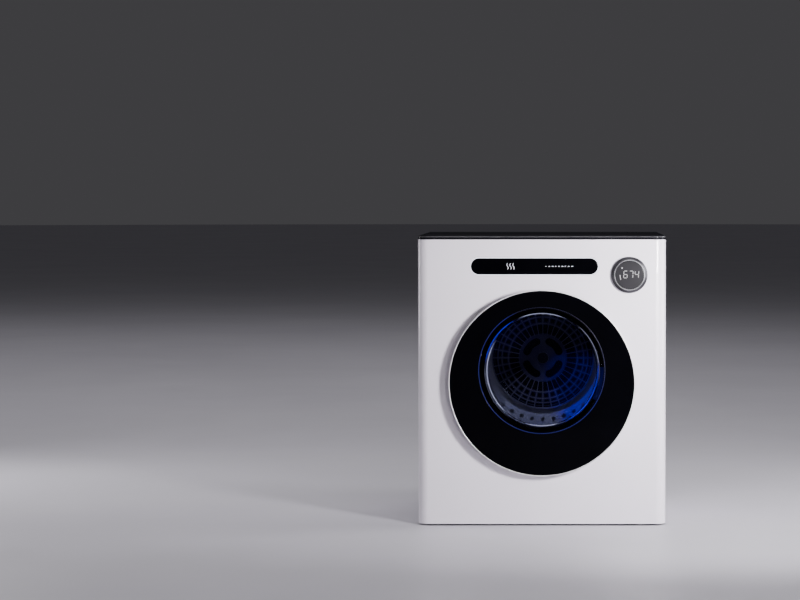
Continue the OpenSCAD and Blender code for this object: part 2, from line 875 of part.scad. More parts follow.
module door_bowl() {
    color([0.6, 0.7, 0.8, 0.4]) turned(0, drum_z, 0) {
        difference() {
            bowl_2d(0);
            translate([-1, 0]) bowl_2d(bowl_t);
            translate([-5, -frame_front]) square([bowl_r - bowl_t + 5, bowl_t]);
            translate([-5, -frame_front - 5]) square([5, bowl_depth + 40]);
        }
        translate([bowl_r - bowl_t, -frame_front]) square([bowl_t + 8, bowl_t]);
    }
}

module door_gasket() {
    color("darkslategray") turned(0, drum_z, -frame_back + fit_gap) {
        translate([collar_r - 2, 0]) square([8, 3]);
        translate([collar_r - 2, 2]) square([3, collar_start + frame_back - 2 * fit_gap - 2]);
        translate([collar_r - 2, collar_start + frame_back - 2 * fit_gap - 3])
            square([gasket_r - collar_r + 2, 3]);
    }
}

module hinge_bracket() {
    base_t = 2;
    color("silver") {
        box([hinge_x - 4, hinge_x + 22], [-base_t, 0], [door_z - 32, door_z + 32]);
        for (z = [door_z - lug_half - fit_gap - ear_t, door_z + lug_half + fit_gap])
            translate([hinge_x, front_y, z]) difference() {
                union() {
                    translate([0, -hinge_out, 0]) cylinder(h = ear_t, r = knuckle_r);
                    translate([-1, -hinge_out, 0]) cube([knuckle_r, hinge_out, ear_t]);
                }
                translate([0, -hinge_out, -1]) cylinder(h = ear_t + 2, r = hinge_pin_r + run_gap);
            }
    }
}

module hinge_pin() {
    reach = lug_half + fit_gap + ear_t;
    color("silver") translate([hinge_x, front_y - hinge_out, door_z - reach - 2]) {
        cylinder(h = 2 * reach + 3, r = hinge_pin_r);
        cylinder(h = 2, r = hinge_pin_r + 1.5);
    }
}

module door_striker() {
    x = [striker_x - 3, striker_x + 3];
    color("dimgray") {
        box(x, [-frame_back, striker_in - 6], [door_z - 5, door_z + 5]);
        box(x, [striker_in - 6, striker_in], [door_z - 7.5, door_z + 7.5]);
    }
}

module latch_housing() {
    near = panel_t + fit_gap;
    color("dimgray") difference() {
        box([striker_x - 9, striker_x + 13], [near, bulkhead_d - fit_gap],
            [door_z - 18, door_z + 18]);
        box([striker_x - 5, striker_x + 7], [near - 1, near + striker_in], [door_z - 11, door_z + 11]);
    }
}

// Controls ----------------------------------------------------------------------------------

module display_trim() {
    color("lightsteelblue") slab(-0.6, panel_t + 0.6) translate([display_x, display_z])
        difference() {
            pill_2d(display_w - 1, display_h - 1);
            pill_2d(display_w - 1 - 2 * trim_w, display_h - 1 - 2 * trim_w);
        }
}

module display_panel() {
    cut = 1 + 2 * trim_w + 2 * fit_gap;
    color("black") {
        slab(-0.4, panel_t) translate([display_x, display_z])
            pill_2d(display_w - cut, display_h - cut);
        for (s = [-1, 1]) for (k = [-1, 1])
            rod(display_x + s * display_w * 0.38, display_z + k * 7, panel_t - 1,
                board_d - panel_t + 1, 2.5);
    }
}

module control_board() {
    thick = 1.6;
    half = display_w / 2 - 20;
    half_h = display_h / 2 - 3;
    color("darkgreen") {
        box([display_x - half, display_x + half], [board_d, board_d + thick],
            [display_z - half_h, display_z + half_h]);
        for (k = [0 : 4]) box([display_x - half + 20 + k * 38, display_x - half + 38 + k * 38],
            [board_d + thick, board_d + thick + 3 + k % 3], [display_z - 7, display_z + 7]);
    }
}

module dial_bezel() {
    color("gray") {
        slab(-1.5, 1.5) translate([dial_x, dial_z]) ring_2d(dial_r - 2, stem_r + fit_gap);
        slab(-1.5 - 4.5, encoder_d - fit_gap + 6) translate([dial_x, dial_z])
            ring_2d(tube_r, stem_r + fit_gap);
    }
}

module dial_ring() {
    near = 1.8;
    recess = 6.3;
    bore = tube_r + fit_gap;
    color("silver") turned(dial_x, dial_z, 0) polygon([
        [bore, -near], [dial_r - 0.6, -near], [dial_r, -near - 0.6], [dial_r, -recess],
        [face_r + 4, -dial_proud + 0.5], [face_r + 3.5, -dial_proud],
        [face_r + 2.5, -dial_proud], [face_r + 0.5, -dial_proud + 1.2],
        [face_r + 0.5, -recess], [bore, -recess]
    ]);
}

module dial_face() {
    front = dial_proud - 1;
    back = 6 + press_travel + 0.8;
    color("dimgray") {
        rod(dial_x, dial_z, -front, front - back, face_r);
        rod(dial_x, dial_z, -back, back + encoder_d - press_travel - 1, stem_r);
    }
}

module dial_encoder() {
    color("darkslategray") {
        rod(dial_x, dial_z, encoder_d, 6, tube_r - 2);
        box([dial_x - 12, dial_x + 12], [encoder_d + 6, bulkhead_d - fit_gap],
            [dial_z - 12, dial_z + 12]);
    }
}

// Rear fittings -----------------------------------------------------------------------------

module cord_gland() {
    bore = 4.5;
    color("black") difference() {
        union() {
            rod(gland_x, gland_z, case_d, 4, gland_r + 5);
            rod(gland_x, gland_z, rear_in - 8, 8 + sheet_t, gland_r - fit_gap);
            rod(gland_x, gland_z, rear_in - 7, 7 - fit_gap, gland_r + 4);
            rod(gland_x, gland_z, case_d + 4, 8, gland_r - 2);
        }
        rod(gland_x, gland_z, rear_in - 10, 40, bore);
    }
}

module rear_screws() {
    color("silver") for (p = screw_places) {
        rod(p.x, p.y, case_d, 2, 4);
        rod(p.x, p.y, rear_in - fit_gap, sheet_t + fit_gap, 1.9);
    }
}

front_panel();
left_side_panel();
right_side_panel();
rear_panel();
top_panel();
base_tray();
feet();
top_rails();
front_bulkhead();
front_felt_seal();
drum_glides();
drum_shell();
drum_front_ring();
drum_rear_wall();
drum_lifters();
drum_spider();
rear_bulkhead();
rear_felt_seals();
bearing_housing();
drum_bearing();
filter_cover();
filter_mesh();
rear_air_duct();
heater_duct();
heater_element();
blower_housing();
blower_wheel();
exhaust_duct();
exhaust_collar();
backdraft_flap();
motor_body();
motor_mount();
motor_rotor();
motor_pulley();
drive_belt();
idler_arm();
idler_pulley();
idler_pivot();
idler_spring();
door_cover();
door_window();
door_rim();
door_frame();
door_bowl();
window_light_ring();
door_gasket();
hinge_bracket();
hinge_pin();
door_striker();
latch_housing();
display_panel();
display_trim();
control_board();
dial_bezel();
dial_ring();
dial_face();
dial_encoder();
drum_lamp();
cord_gland();
rear_screws();
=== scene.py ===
import json
import math

import bmesh
import bpy
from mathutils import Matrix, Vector

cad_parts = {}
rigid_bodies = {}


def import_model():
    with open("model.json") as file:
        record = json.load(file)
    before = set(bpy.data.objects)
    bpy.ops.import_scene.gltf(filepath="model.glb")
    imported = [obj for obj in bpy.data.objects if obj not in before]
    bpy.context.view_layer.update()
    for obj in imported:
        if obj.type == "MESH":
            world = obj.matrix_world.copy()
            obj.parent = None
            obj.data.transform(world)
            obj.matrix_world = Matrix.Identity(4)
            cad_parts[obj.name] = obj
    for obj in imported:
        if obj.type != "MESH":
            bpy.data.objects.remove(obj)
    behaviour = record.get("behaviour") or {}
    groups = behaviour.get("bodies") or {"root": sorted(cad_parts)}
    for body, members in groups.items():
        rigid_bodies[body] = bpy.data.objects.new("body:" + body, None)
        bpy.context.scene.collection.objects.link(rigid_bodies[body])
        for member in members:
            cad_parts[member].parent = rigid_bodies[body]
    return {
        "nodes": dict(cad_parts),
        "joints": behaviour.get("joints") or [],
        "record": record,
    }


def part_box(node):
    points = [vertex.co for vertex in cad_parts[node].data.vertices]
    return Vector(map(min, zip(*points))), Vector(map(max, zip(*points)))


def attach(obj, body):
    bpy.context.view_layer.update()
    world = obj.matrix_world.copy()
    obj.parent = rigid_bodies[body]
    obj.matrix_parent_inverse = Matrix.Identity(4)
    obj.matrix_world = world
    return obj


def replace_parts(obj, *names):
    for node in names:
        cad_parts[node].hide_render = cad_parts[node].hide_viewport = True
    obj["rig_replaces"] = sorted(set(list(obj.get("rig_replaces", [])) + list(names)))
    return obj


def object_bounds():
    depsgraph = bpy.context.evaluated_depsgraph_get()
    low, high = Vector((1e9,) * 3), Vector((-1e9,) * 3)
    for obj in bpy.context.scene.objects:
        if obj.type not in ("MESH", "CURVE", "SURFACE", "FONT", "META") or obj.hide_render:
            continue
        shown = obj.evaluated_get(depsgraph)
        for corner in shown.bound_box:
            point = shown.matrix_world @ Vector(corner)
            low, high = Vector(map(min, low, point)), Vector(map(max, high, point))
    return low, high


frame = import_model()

CAD_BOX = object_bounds()
RECORD = frame["record"]
BODY_OF = {n: b for b, members in RECORD["behaviour"]["bodies"].items() for n in members}
SLOT_OF = {s["node"]: s["material_slot"] for s in RECORD["subparts"]}
JOINT = {j["name"]: j for j in frame["joints"]}
TAU = 2 * math.pi
QUARTER = math.pi / 2
MM = 0.001

PANEL_LOW, PANEL_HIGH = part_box("front_panel")
FRONT_Y = PANEL_LOW.y
PANEL_T = 2.5 * MM
CORNER_R = 21.5 * MM
DIAL_HOLE_R = 26.8 * MM
HALF_WIDTH = Vector(CAD_BOX[1]).x
AXIS_X = JOINT["drum_spin"]["pos_m"][0]
AXIS_Z = JOINT["drum_spin"]["pos_m"][2]
AXIS = (AXIS_X, AXIS_Z)


# Camera ------------------------------------------------------------------------------------

def add_camera():
    """A long lens, a little above the dryer's top and a little to the right of its middle."""
    distance = 4.5
    height = 0.676
    side = 0.03
    tilt = math.radians(1.6)
    data = bpy.data.cameras.new("camera")
    data.lens = 100.8
    data.sensor_width = 36.0
    data.shift_x = -0.196
    data.shift_y = -0.059
    data.clip_end = 60.0
    cam = bpy.data.objects.new("camera", data)
    bpy.context.scene.collection.objects.link(cam)
    cam.location = (side, FRONT_Y - distance, height)
    cam.rotation_euler = (QUARTER - tilt, 0.0, 0.0)
    bpy.context.scene.camera = cam


def add_light(name, kind, place, target, power, color):
    """A light of one kind, turned towards its target."""
    data = bpy.data.lights.new(name, kind)
    data.energy = power
    data.color = color
    light = bpy.data.objects.new(name, data)
    bpy.context.scene.collection.objects.link(light)
    light.location = place
    aim = Vector(target) - Vector(place)
    light.rotation_euler = aim.to_track_quat("-Z", "Y").to_euler()
    return light


def add_area(name, place, target, size, power, color):
    light = add_light(name, "AREA", place, target, power, color)
    light.data.shape = "RECTANGLE"
    light.data.size, light.data.size_y = size
    light.visible_camera = False
    return light


def add_lights():
    """One firm key from the right, weak fills, strips that catch the edges, and a lit floor."""
    middle = (0.0, FRONT_Y, 0.32)
    pale = (1.0, 0.975, 1.0)
    key = add_area("key", (0.72, FRONT_Y - 1.05, 0.6), (0.26, FRONT_Y, 0.5), (0.2, 0.26), 11.8,
                   pale)
    key.data.spread = math.radians(90)
    add_area("fill", (-2.4, FRONT_Y - 3.0, 1.3), middle, (0.7, 2.0), 1.5, pale)
    add_area("over", (0.1, -0.1, 2.4), (0.0, 0.0, 0.4), (2.2, 1.0), 9.0, pale)
    add_area("front_high", (-0.2, FRONT_Y - 1.6, 2.9), middle, (1.8, 0.14), 9.0, pale)
    add_area("strip", (0.56, FRONT_Y - 2.0, 0.36), (0.23, FRONT_Y, 0.36), (0.02, 0.62), 7.5, pale)
    add_area("edge_left", (-1.6, 0.5, 0.75), (-0.24, FRONT_Y, 0.3), (0.25, 1.1), 9.0, pale)
    add_area("edge_right", (1.5, -0.1, 0.75), (0.24, FRONT_Y, 0.3), (0.3, 1.1), 20.0, pale)
    add_area("behind", (0.6, 2.2, 3.4), (0.0, 0.2, 0.3), (2.4, 1.8), 22.0, pale)
    add_area("floor_wash", (-1.6, 3.6, 3.2), (-1.6, 3.61, 0.0), (8.0, 5.0), 65.0, pale)
    add_area("floor_left", (-2.6, 0.6, 2.2), (-2.6, 0.61, 0.0), (2.6, 2.6), 16.0, pale)
    world = bpy.data.worlds.new("studio")
    world.use_nodes = True
    back = world.node_tree.nodes["Background"]
    back.inputs["Color"].default_value = (0.55, 0.54, 0.58, 1.0)
    back.inputs["Strength"].default_value = 0.10
    bpy.context.scene.world = world


def add_spot(name, place, target, power, color, angle):
    light = add_light(name, "SPOT", place, target, power, color)
    light.data.spot_size = math.radians(angle)
    light.data.spot_blend = 0.7
    light.data.shadow_soft_size = 10 * MM


def add_drum_lights():
    """Deep blue light across the drum, and a paler beam on the lower part of its back wall."""
    drum_low, drum_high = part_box("drum_shell")
    near = drum_low.y + 15 * MM
    wall = drum_high.y
    blue = (0.015, 0.0, 1.0)
    add_spot("drum_blue_low", (-0.12, near, AXIS_Z + 0.12), (0.105, wall, AXIS_Z - 0.085),
             5.6, blue, 28)
    add_spot("drum_blue_high", (0.13, near, AXIS_Z - 0.12), (-0.10, wall, AXIS_Z + 0.09),
             0.9, blue, 22)
    add_spot("drum_blue_wide", (0.0, near, AXIS_Z + 0.16), (0.02, wall, AXIS_Z), 0.06, blue, 80)
    add_spot("drum_lamp_beam", (0.03, near, AXIS_Z + 0.165), (-0.03, wall, AXIS_Z - 0.13),
             1.9, (0.68, 0.70, 1.0), 25)


# Materials ---------------------------------------------------------------------------------

class Shader:
    """A Principled material with object-space texture nodes."""

    def __init__(self, name, rough, metal=0.0, **sockets):
        self.material = bpy.data.materials.new(name)
        self.material.use_nodes = True
        self.tree = self.material.node_tree
        self.nodes = self.tree.nodes
        self.bsdf = self.nodes["Principled BSDF"]
        self.bsdf.inputs["Roughness"].default_value = rough
        self.bsdf.inputs["Metallic"].default_value = metal
        for socket, value in sockets.items():
            self.bsdf.inputs[socket.replace("_", " ")].default_value = value
        self.coords = self.nodes.new("ShaderNodeTexCoord")
        self.height = None

    def link(self, a, b):
        self.tree.links.new(a, b)

    def mapped(self, stretch):
        node = self.nodes.new("ShaderNodeMapping")
        node.inputs["Scale"].default_value = stretch
        self.link(self.coords.outputs["Object"], node.inputs["Vector"])
        return node.outputs["Vector"]

    def noise(self, scale, detail=3.0, stretch=(1, 1, 1)):
        node = self.nodes.new("ShaderNodeTexNoise")
        node.inputs["Scale"].default_value = scale
        node.inputs["Detail"].default_value = detail
        self.link(self.mapped(stretch), node.inputs["Vector"])
        return node.outputs["Fac"]

    def cells(self, scale, feature="F1"):
        node = self.nodes.new("ShaderNodeTexVoronoi")
        node.feature = feature
        node.inputs["Scale"].default_value = scale
        self.link(self.mapped((1, 1, 1)), node.inputs["Vector"])
        return node.outputs["Distance"]

    def ramp(self, source, stops):
        node = self.nodes.new("ShaderNodeValToRGB")
        ramp = node.color_ramp
        while len(ramp.elements) < len(stops):
            ramp.elements.new(0.5)
        for element, (place, color) in zip(ramp.elements, stops):
            element.position = place
            element.color = (*color, 1.0)
        self.link(source, node.inputs["Fac"])
        return node.outputs["Color"]

    def span(self, source, low, high):
        node = self.nodes.new("ShaderNodeMapRange")
        node.inputs["To Min"].default_value = low
        node.inputs["To Max"].default_value = high
        self.link(source, node.inputs["Value"])
        return node.outputs["Result"]

    def color(self, source, dark, light, low=0.3, high=0.7):
        self.link(self.ramp(source, [(low, dark), (high, light)]), self.bsdf.inputs["Base Color"])
        return self

    def rough(self, source, low, high):
        self.link(self.span(source, low, high), self.bsdf.inputs["Roughness"])
        return self

    def bump(self, source, distance, strength=0.5):
        node = self.nodes.new("ShaderNodeBump")
        node.inputs["Distance"].default_value = distance
        node.inputs["Strength"].default_value = strength
        self.link(source, node.inputs["Height"])
        if self.height is not None:
            self.link(self.height, node.inputs["Normal"])
        self.height = node.outputs["Normal"]
        self.link(self.height, self.bsdf.inputs["Normal"])
        return self


def shade(color, factor):
    """The colour made darker or lighter, with no channel past white."""
    return tuple(min(1.0, v * factor) for v in color)


def enamel(name, base):
    """Sprayed enamel: a faint orange peel under a clear gloss."""
    s = Shader(name, 0.3, Coat_Weight=0.5, Coat_Roughness=0.06)
    s.color(s.noise(5.0, 4.0), shade(base, 0.975), shade(base, 1.01))
    s.rough(s.noise(14.0, 4.0), 0.30, 0.42)
    s.bump(s.noise(900.0, 2.0), 0.00003, 0.18)
    return s.material


def polished(name, base, low=0.07, high=0.16, coat=0.6, specular=0.5, wave=0.1):
    """Polished plastic or printed glass with the faint smears of handling."""
    s = Shader(name, low, Coat_Weight=coat, Coat_Roughness=0.04)
    s.bsdf.inputs["Specular IOR Level"].default_value = specular
    s.color(s.noise(9.0, 5.0), shade(base, 0.85), shade(base, 1.15))
    s.rough(s.noise(22.0, 6.0, (1.0, 1.0, 2.5)), low, high)
    if wave:
        s.bump(s.noise(40.0, 2.0), 0.00003, wave)
    return s.material


def moulded(name, base, rough=0.5, grain=1500.0):
    """Moulded plastic with a fine spark-eroded grain and a little mottling."""
    s = Shader(name, rough)
    s.color(s.noise(30.0, 4.0), shade(base, 0.9), shade(base, 1.1))
    s.rough(s.noise(60.0, 4.0), rough - 0.07, rough + 0.1)
    s.bump(s.cells(grain), 0.00006, 0.35)
    return s.material


def brushed(name, base, stretch=(1, 60, 1), rough=0.32, metal=1.0):
    """Metal drawn or brushed along one direction."""
    s = Shader(name, rough, metal)
    streaks = s.noise(55.0, 6.0, stretch)
    s.color(streaks, shade(base, 0.8), shade(base, 1.1))
    s.rough(streaks, rough - 0.08, rough + 0.14)
    s.bump(streaks, 0.00003, 0.4)
    return s.material


def galvanised(name, base):
    """Zinc-coated sheet with its pale spangle."""
    s = Shader(name, 0.42, 0.85)
    s.color(s.cells(170.0), shade(base, 0.92), shade(base, 1.05), 0.1, 0.8)
    s.rough(s.noise(45.0, 4.0), 0.34, 0.52)
    s.bump(s.noise(300.0, 3.0), 0.00004, 0.3)
    return s.material


def cast(name, base):
    s = Shader(name, 0.5, 0.9)
    s.color(s.noise(40.0, 5.0), shade(base, 0.8), shade(base, 1.1))
    s.rough(s.noise(80.0, 4.0), 0.42, 0.62)
    s.bump(s.noise(900.0, 4.0), 0.00012, 0.5)
    return s.material


def felted(name, base):
    s = Shader(name, 0.95, Sheen_Weight=0.5, Sheen_Roughness=0.6)
    fibres = s.noise(900.0, 8.0)
    s.color(fibres, shade(base, 0.7), shade(base, 1.15))
    s.bump(fibres, 0.0006, 0.7)
    return s.material


def rubbery(name, base, rough=0.7):
    s = Shader(name, rough)
    s.color(s.noise(70.0, 5.0), shade(base, 0.7), shade(base, 1.5))
    s.rough(s.noise(120.0, 4.0), rough - 0.12, rough + 0.1)
    s.bump(s.noise(1400.0, 3.0), 0.00008, 0.4)
    return s.material


def woven(name, base):
    """A fine plain-woven filter cloth."""
    s = Shader(name, 0.7, Specular_IOR_Level=0.1)
    wave = []
    for direction in ("X", "Z"):
        node = s.nodes.new("ShaderNodeTexWave")
        node.bands_direction = direction
        node.inputs["Scale"].default_value = 260.0
        s.link(s.mapped((1, 1, 1)), node.inputs["Vector"])
        wave.append(node.outputs["Fac"])
    mix = s.nodes.new("ShaderNodeMath")
    mix.operation = "MULTIPLY"
    s.link(wave[0], mix.inputs[0])
    s.link(wave[1], mix.inputs[1])
    s.color(mix.outputs[0], shade(base, 0.4), shade(base, 1.6), 0.1, 0.9)
    s.bump(mix.outputs[0], 0.0002, 0.6)
    return s.material


def glass(name, tint, ior, coat):
    """Clear glass: it hardly bends what is behind it, and its coat carries the reflections."""
    s = Shader(name, 0.0, Transmission_Weight=1.0, IOR=ior, Coat_Weight=coat,
               Coat_Roughness=0.02)
    s.color(s.noise(3.0, 2.0), shade(tint, 0.97), tint)
    return s.material


def glowing(name, base, light, strength):
    """A glowing material, a little uneven along its length: it lights the display's marks and the
    dial's digits, and it paints highlights along the bowl's edge and the display's trim and a blue
    sheen on the bowl's edge.
    """
    s = Shader(name, 0.35, Emission_Strength=strength, Specular_IOR_Level=0.1)
    uneven = s.noise(12.0, 2.0)
    s.color(uneven, shade(base, 0.8), base)
    glow = s.ramp(uneven, [(0.3, shade(light, 0.75)), (0.7, light)])
    s.link(glow, s.bsdf.inputs["Emission Color"])
    return s.material


def angle_painted_glow(name, stops, strength):
    """A ring round the window that glows blue: its glow follows the angle about the drum's axis,
    painted reflections in some stretches and painted dark gaps in others.
    """
    s = Shader(name, 0.35, Emission_Strength=strength, Specular_IOR_Level=0.1)
    node = s.nodes.new("ShaderNodeMapping")
    node.inputs["Location"].default_value = (-AXIS_X, -AXIS_Z, 0.0)
    node.inputs["Rotation"].default_value = (-QUARTER, 0.0, 0.0)
    s.link(s.coords.outputs["Object"], node.inputs["Vector"])
    turn = s.nodes.new("ShaderNodeTexGradient")
    turn.gradient_type = "RADIAL"
    s.link(node.outputs["Vector"], turn.inputs["Vector"])
    glow = s.ramp(turn.outputs["Fac"], [(0.5 + a / 360, c) for a, c in stops])
    s.link(glow, s.bsdf.inputs["Emission Color"])
    s.color(turn.outputs["Fac"], (0.004, 0.004, 0.012), (0.006, 0.006, 0.018))
    return s.material


def circuit(name):
    """Green solder resist with paler tracks under it."""
    s = Shader(name, 0.35)
    tracks = s.cells(260.0, "DISTANCE_TO_EDGE")
    s.color(tracks, (0.02, 0.16, 0.06), (0.03, 0.3, 0.12), 0.02, 0.1)
    s.bump(tracks, 0.0001, 0.4)
    return s.material


def make_materials():
    return {
        "white_panel": enamel("white_enamel", (0.80, 0.757, 0.835)),
        "black_top": polished("black_polish", (0.006, 0.006, 0.008), 0.07, 0.13, 0.12, 0.0, 0),
        "edge_grey": polished("edge_grey", (0.13, 0.13, 0.135), 0.2, 0.3, 0.3, 0.5, 0),
        "sheet_steel": galvanised("zinc_sheet", (0.50, 0.51, 0.54)),
        "drum_steel": brushed("drum_stainless", (0.62, 0.63, 0.68), (1, 40, 1), 0.38),
        "black_glass": polished("black_glass", (0.0008, 0.0008, 0.0014), 0.05, 0.1, 0.0, 0.045, 0),
        "smoked_glass": glass("window_glass", (0.80, 0.81, 0.90), 1.0, 0.0),
        "bowl_glass": glass("bowl_glass", (0.92, 0.93, 1.0), 1.0, 0.05),
        "rim_metal": brushed("bright_rim", (0.95, 0.94, 0.97), (1, 1, 1), 0.3, 0.45),
        "dial_bright": brushed("dial_bright", (0.45, 0.45, 0.47), (1, 1, 1), 0.3, 0.45),
        "drum_wall": brushed("drum_back_steel", (0.50, 0.51, 0.56), (1, 1, 30), 0.5, 0.35),
        "dark_plastic": moulded("dark_plastic", (0.006, 0.006, 0.008)),
        "frame_black": polished("frame_black", (0.001, 0.001, 0.0015), 0.3, 0.4, 0.0, 0.03, 0),
        "grey_plastic": moulded("grey_plastic", (0.22, 0.23, 0.25)),
        "white_plastic": moulded("white_plastic", (0.62, 0.62, 0.6), 0.45),
        "lifter_plastic": moulded("lifter_plastic", (0.25, 0.30, 0.5), 0.35),
        "rib_plastic": moulded("rib_plastic", (0.17, 0.165, 0.23), 0.4),
        "filter_plastic": moulded("filter_plastic", (0.03, 0.028, 0.07), 0.4),
        "mesh": woven("filter_cloth", (0.0015, 0.0015, 0.003)),
        "felt": felted("felt", (0.62, 0.57, 0.48)),
        "rubber": rubbery("rubber", (0.015, 0.015, 0.016)),
        # The window ring's glow by angle in degrees: painted blue and pale reflections, and a
        # black stretch where no reflection is painted.
        "light_guide": angle_painted_glow("blue_guide", [
            (-180, (0.04, 0.05, 0.50)), (-90, (0.02, 0.03, 0.40)), (-30, (0.03, 0.04, 0.60)),
            (0, (0.12, 0.12, 0.30)), (40, (0.09, 0.09, 0.14)), (58, (0.0, 0.0, 0.0)),
            (112, (0.0, 0.0, 0.0)), (124, (0.02, 0.02, 0.50)), (180, (0.04, 0.04, 0.50))], 0.3),
        # Painted highlights on the bowl's edge, as glowing arcs.
        "pale_arc": glowing("pale_arc", (0.1, 0.1, 0.14), (0.72, 0.76, 1.0), 0.75),
        "grey_arc": glowing("grey_arc", (0.05, 0.05, 0.07), (0.5, 0.52, 0.7), 0.25),
        "blue_arc": glowing("blue_arc", (0.01, 0.01, 0.1), (0.02, 0.01, 1.0), 0.75),
        # A painted blue sheen on the bowl's edge, as a dim glow.
        "deep_blue": glowing("deep_blue", (0.003, 0.003, 0.03), (0.004, 0.004, 0.5), 0.07),
        # Lit display marks, and a painted highlight along the display's trim.
        "pale_guide": glowing("pale_guide", (0.5, 0.5, 0.55), (0.9, 0.91, 1.0), 2.2),
        "digit_guide": glowing("digit_guide", (0.3, 0.3, 0.3), (0.8, 0.8, 0.82), 0.35),
        "dial_metal": brushed("dial_metal", (0.075, 0.075, 0.082), (1, 1, 1), 0.34),
        "lip_gloss": polished("lip_gloss", (0.002, 0.002, 0.012), 0.1, 0.16, 0.1, 0.1, 0),
        "dial_glass": polished("dial_glass", (0.016, 0.0155, 0.018), 0.2, 0.3, 0.0, 0.2, 0),
        "steel": brushed("turned_steel", (0.55, 0.56, 0.58), (1, 30, 1), 0.3),
        "cast": cast("cast_metal", (0.42, 0.43, 0.45)),
        "motor_paint": enamel("motor_enamel", (0.05, 0.055, 0.06)),
        "board_green": circuit("circuit_board"),
        "heater_metal": brushed("heater_fins", (0.7, 0.67, 0.58), (40, 1, 1), 0.35),
        "wheel_plastic": moulded("wheel_plastic", (0.6, 0.59, 0.55), 0.5),
    }


MATERIALS = make_materials()


# Mesh helpers ------------------------------------------------------------------------------

def make_object(name, mesh):
    obj = bpy.data.objects.new(name, mesh)
    bpy.context.scene.collection.objects.link(obj)
    return obj


def from_bmesh(name, bm):
    bmesh.ops.remove_doubles(bm, verts=bm.verts, dist=1e-7)
    bmesh.ops.recalc_face_normals(bm, faces=bm.faces)
    mesh = bpy.data.meshes.new(name)
    bm.to_mesh(mesh)
    bm.free()
    return make_object(name, mesh)


def finish_surface(obj, bevel=0.0, angle=32.0, segments=3):
    """Small rounded edges, then smooth shading that follows the larger faces."""
    mesh = obj.data
    mesh.shade_smooth()
    mesh.set_sharp_from_angle(angle=math.radians(angle))
    if bevel > 0:
        mod = obj.modifiers.new("bevel", "BEVEL")
        mod.width = bevel
        mod.segments = segments
        mod.limit_method = "ANGLE"
        mod.angle_limit = math.radians(angle)
        mod.harden_normals = True
        mod.use_clamp_overlap = True
    else:
        obj.modifiers.new("normals", "WEIGHTED_NORMAL").keep_sharp = True
    return obj


def stand_in(obj, node, material=None):
    """obj is shown in place of a CAD node, on that node's body and in its material."""
    slot = SLOT_OF[node]
    obj.data.materials.clear()
    obj.data.materials.append(MATERIALS[material or slot])
    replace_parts(obj, node)
    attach(obj, BODY_OF[node])
    return obj


def detail(obj, node, material):
    """obj is a small extra piece that moves with a CAD node."""
    obj.data.materials.clear()
    obj.data.materials.append(MATERIALS[material])
    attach(obj, BODY_OF[node])
    return obj


def circle(center, radius, y, count):
    """Points round an axis along Y, at one depth."""
    return [(center[0] + radius * math.cos(TAU * k / count), y,
             center[1] + radius * math.sin(TAU * k / count)) for k in range(count)]


def lathe(name, profile, center, segments=192, closed=True):
    """A body turned about an axis along Y. The profile is (radius, y), and closes on itself."""
    bm = bmesh.new()
    rings = []
    for radius, y in profile:
        if radius < 1e-9:
            rings.append([bm.verts.new((center[0], y, center[1]))])
            continue
        rings.append([bm.verts.new(p) for p in circle(center, radius, y, segments)])
    pairs = list(zip(rings, rings[1:]))
    if closed:
        pairs.append((rings[-1], rings[0]))
    for a, b in pairs:
        for k in range(segments):
            n = (k + 1) % segments
            if len(a) == 1 and len(b) == 1:
                break
            if len(a) == 1:
                bm.faces.new((a[0], b[k], b[n]))
            elif len(b) == 1:
                bm.faces.new((a[k], a[n], b[0]))
            else:
                bm.faces.new((a[k], a[n], b[n], b[k]))
    return from_bmesh(name, bm)


def rounded_profile(points, radius, steps=4):
    """A closed outline with each corner replaced by an arc."""
    out = []
    count = len(points)
    for k in range(count):
        here = Vector(points[k])
        before = Vector(points[k - 1]) - here
        after = Vector(points[(k + 1) % count]) - here
        r = min(radius, before.length * 0.45, after.length * 0.45)
        start = here + before.normalized() * r
        end = here + after.normalized() * r
        for i in range(steps + 1):
            t = i / steps
            p = start * (1 - t) ** 2 + here * 2 * t * (1 - t) + end * t ** 2
            out.append((p.x, p.y))
    return out


def copy_of(node, bevel, material=None):
    """A copy of a CAD node's surface with its flat faces made whole, ready to be bevelled."""
    mesh = frame["nodes"][node].data.copy()
    bm = bmesh.new()
    bm.from_mesh(mesh)
    bmesh.ops.remove_doubles(bm, verts=bm.verts, dist=1e-6)
    bmesh.ops.dissolve_limit(bm, angle_limit=math.radians(1.0), verts=bm.verts,
                             edges=bm.edges)
    obj = from_bmesh(node + "_shown", bm)
    finish_surface(obj, bevel)
    return stand_in(obj, node, material=material)


# Cabinet -----------------------------------------------------------------------------------

def arc(center, radius, start, end, steps):
    """Points along an arc, both ends included, with angles in radians."""
    return [(center[0] + radius * math.cos(start + (end - start) * k / steps),
             center[1] + radius * math.sin(start + (end - start) * k / steps))
            for k in range(steps + 1)]


def plan_outline(inset, depth, rear_r):
    """The cabinet's plan: large front corners, small rear ones, drawn smaller by inset."""
    half = HALF_WIDTH - inset
    near = FRONT_Y + inset
    far = FRONT_Y + depth - inset
    r = CORNER_R - inset
    rear = max(rear_r - inset, 0.5 * MM)
    return (arc((-half + r, near + r), r, 2 * QUARTER, 3 * QUARTER, 20)
            + arc((half - r, near + r), r, 3 * QUARTER, 4 * QUARTER, 20)
            + arc((half - rear, far - rear), rear, 0, QUARTER, 5)
            + arc((-half + rear, far - rear), rear, QUARTER, 2 * QUARTER, 5))


def plan_loops(section, depth, rear_r):
    """The plan at each (inset, height) of a section."""
    return [[(x, y, z) for x, y in plan_outline(inset, depth, rear_r)] for inset, z in section]


def loft(bm, loops, close_ends):
    """Joins loops of equal length, each a list of points, into a tube."""
    rings = [[bm.verts.new(p) for p in loop] for loop in loops]
    for a, b in zip(rings, rings[1:]):
        for k in range(len(a)):
            n = (k + 1) % len(a)
            bm.faces.new((a[k], a[n], b[n], b[k]))
    if close_ends:
        bm.faces.new(rings[0])
        bm.faces.new(rings[-1])
    return rings


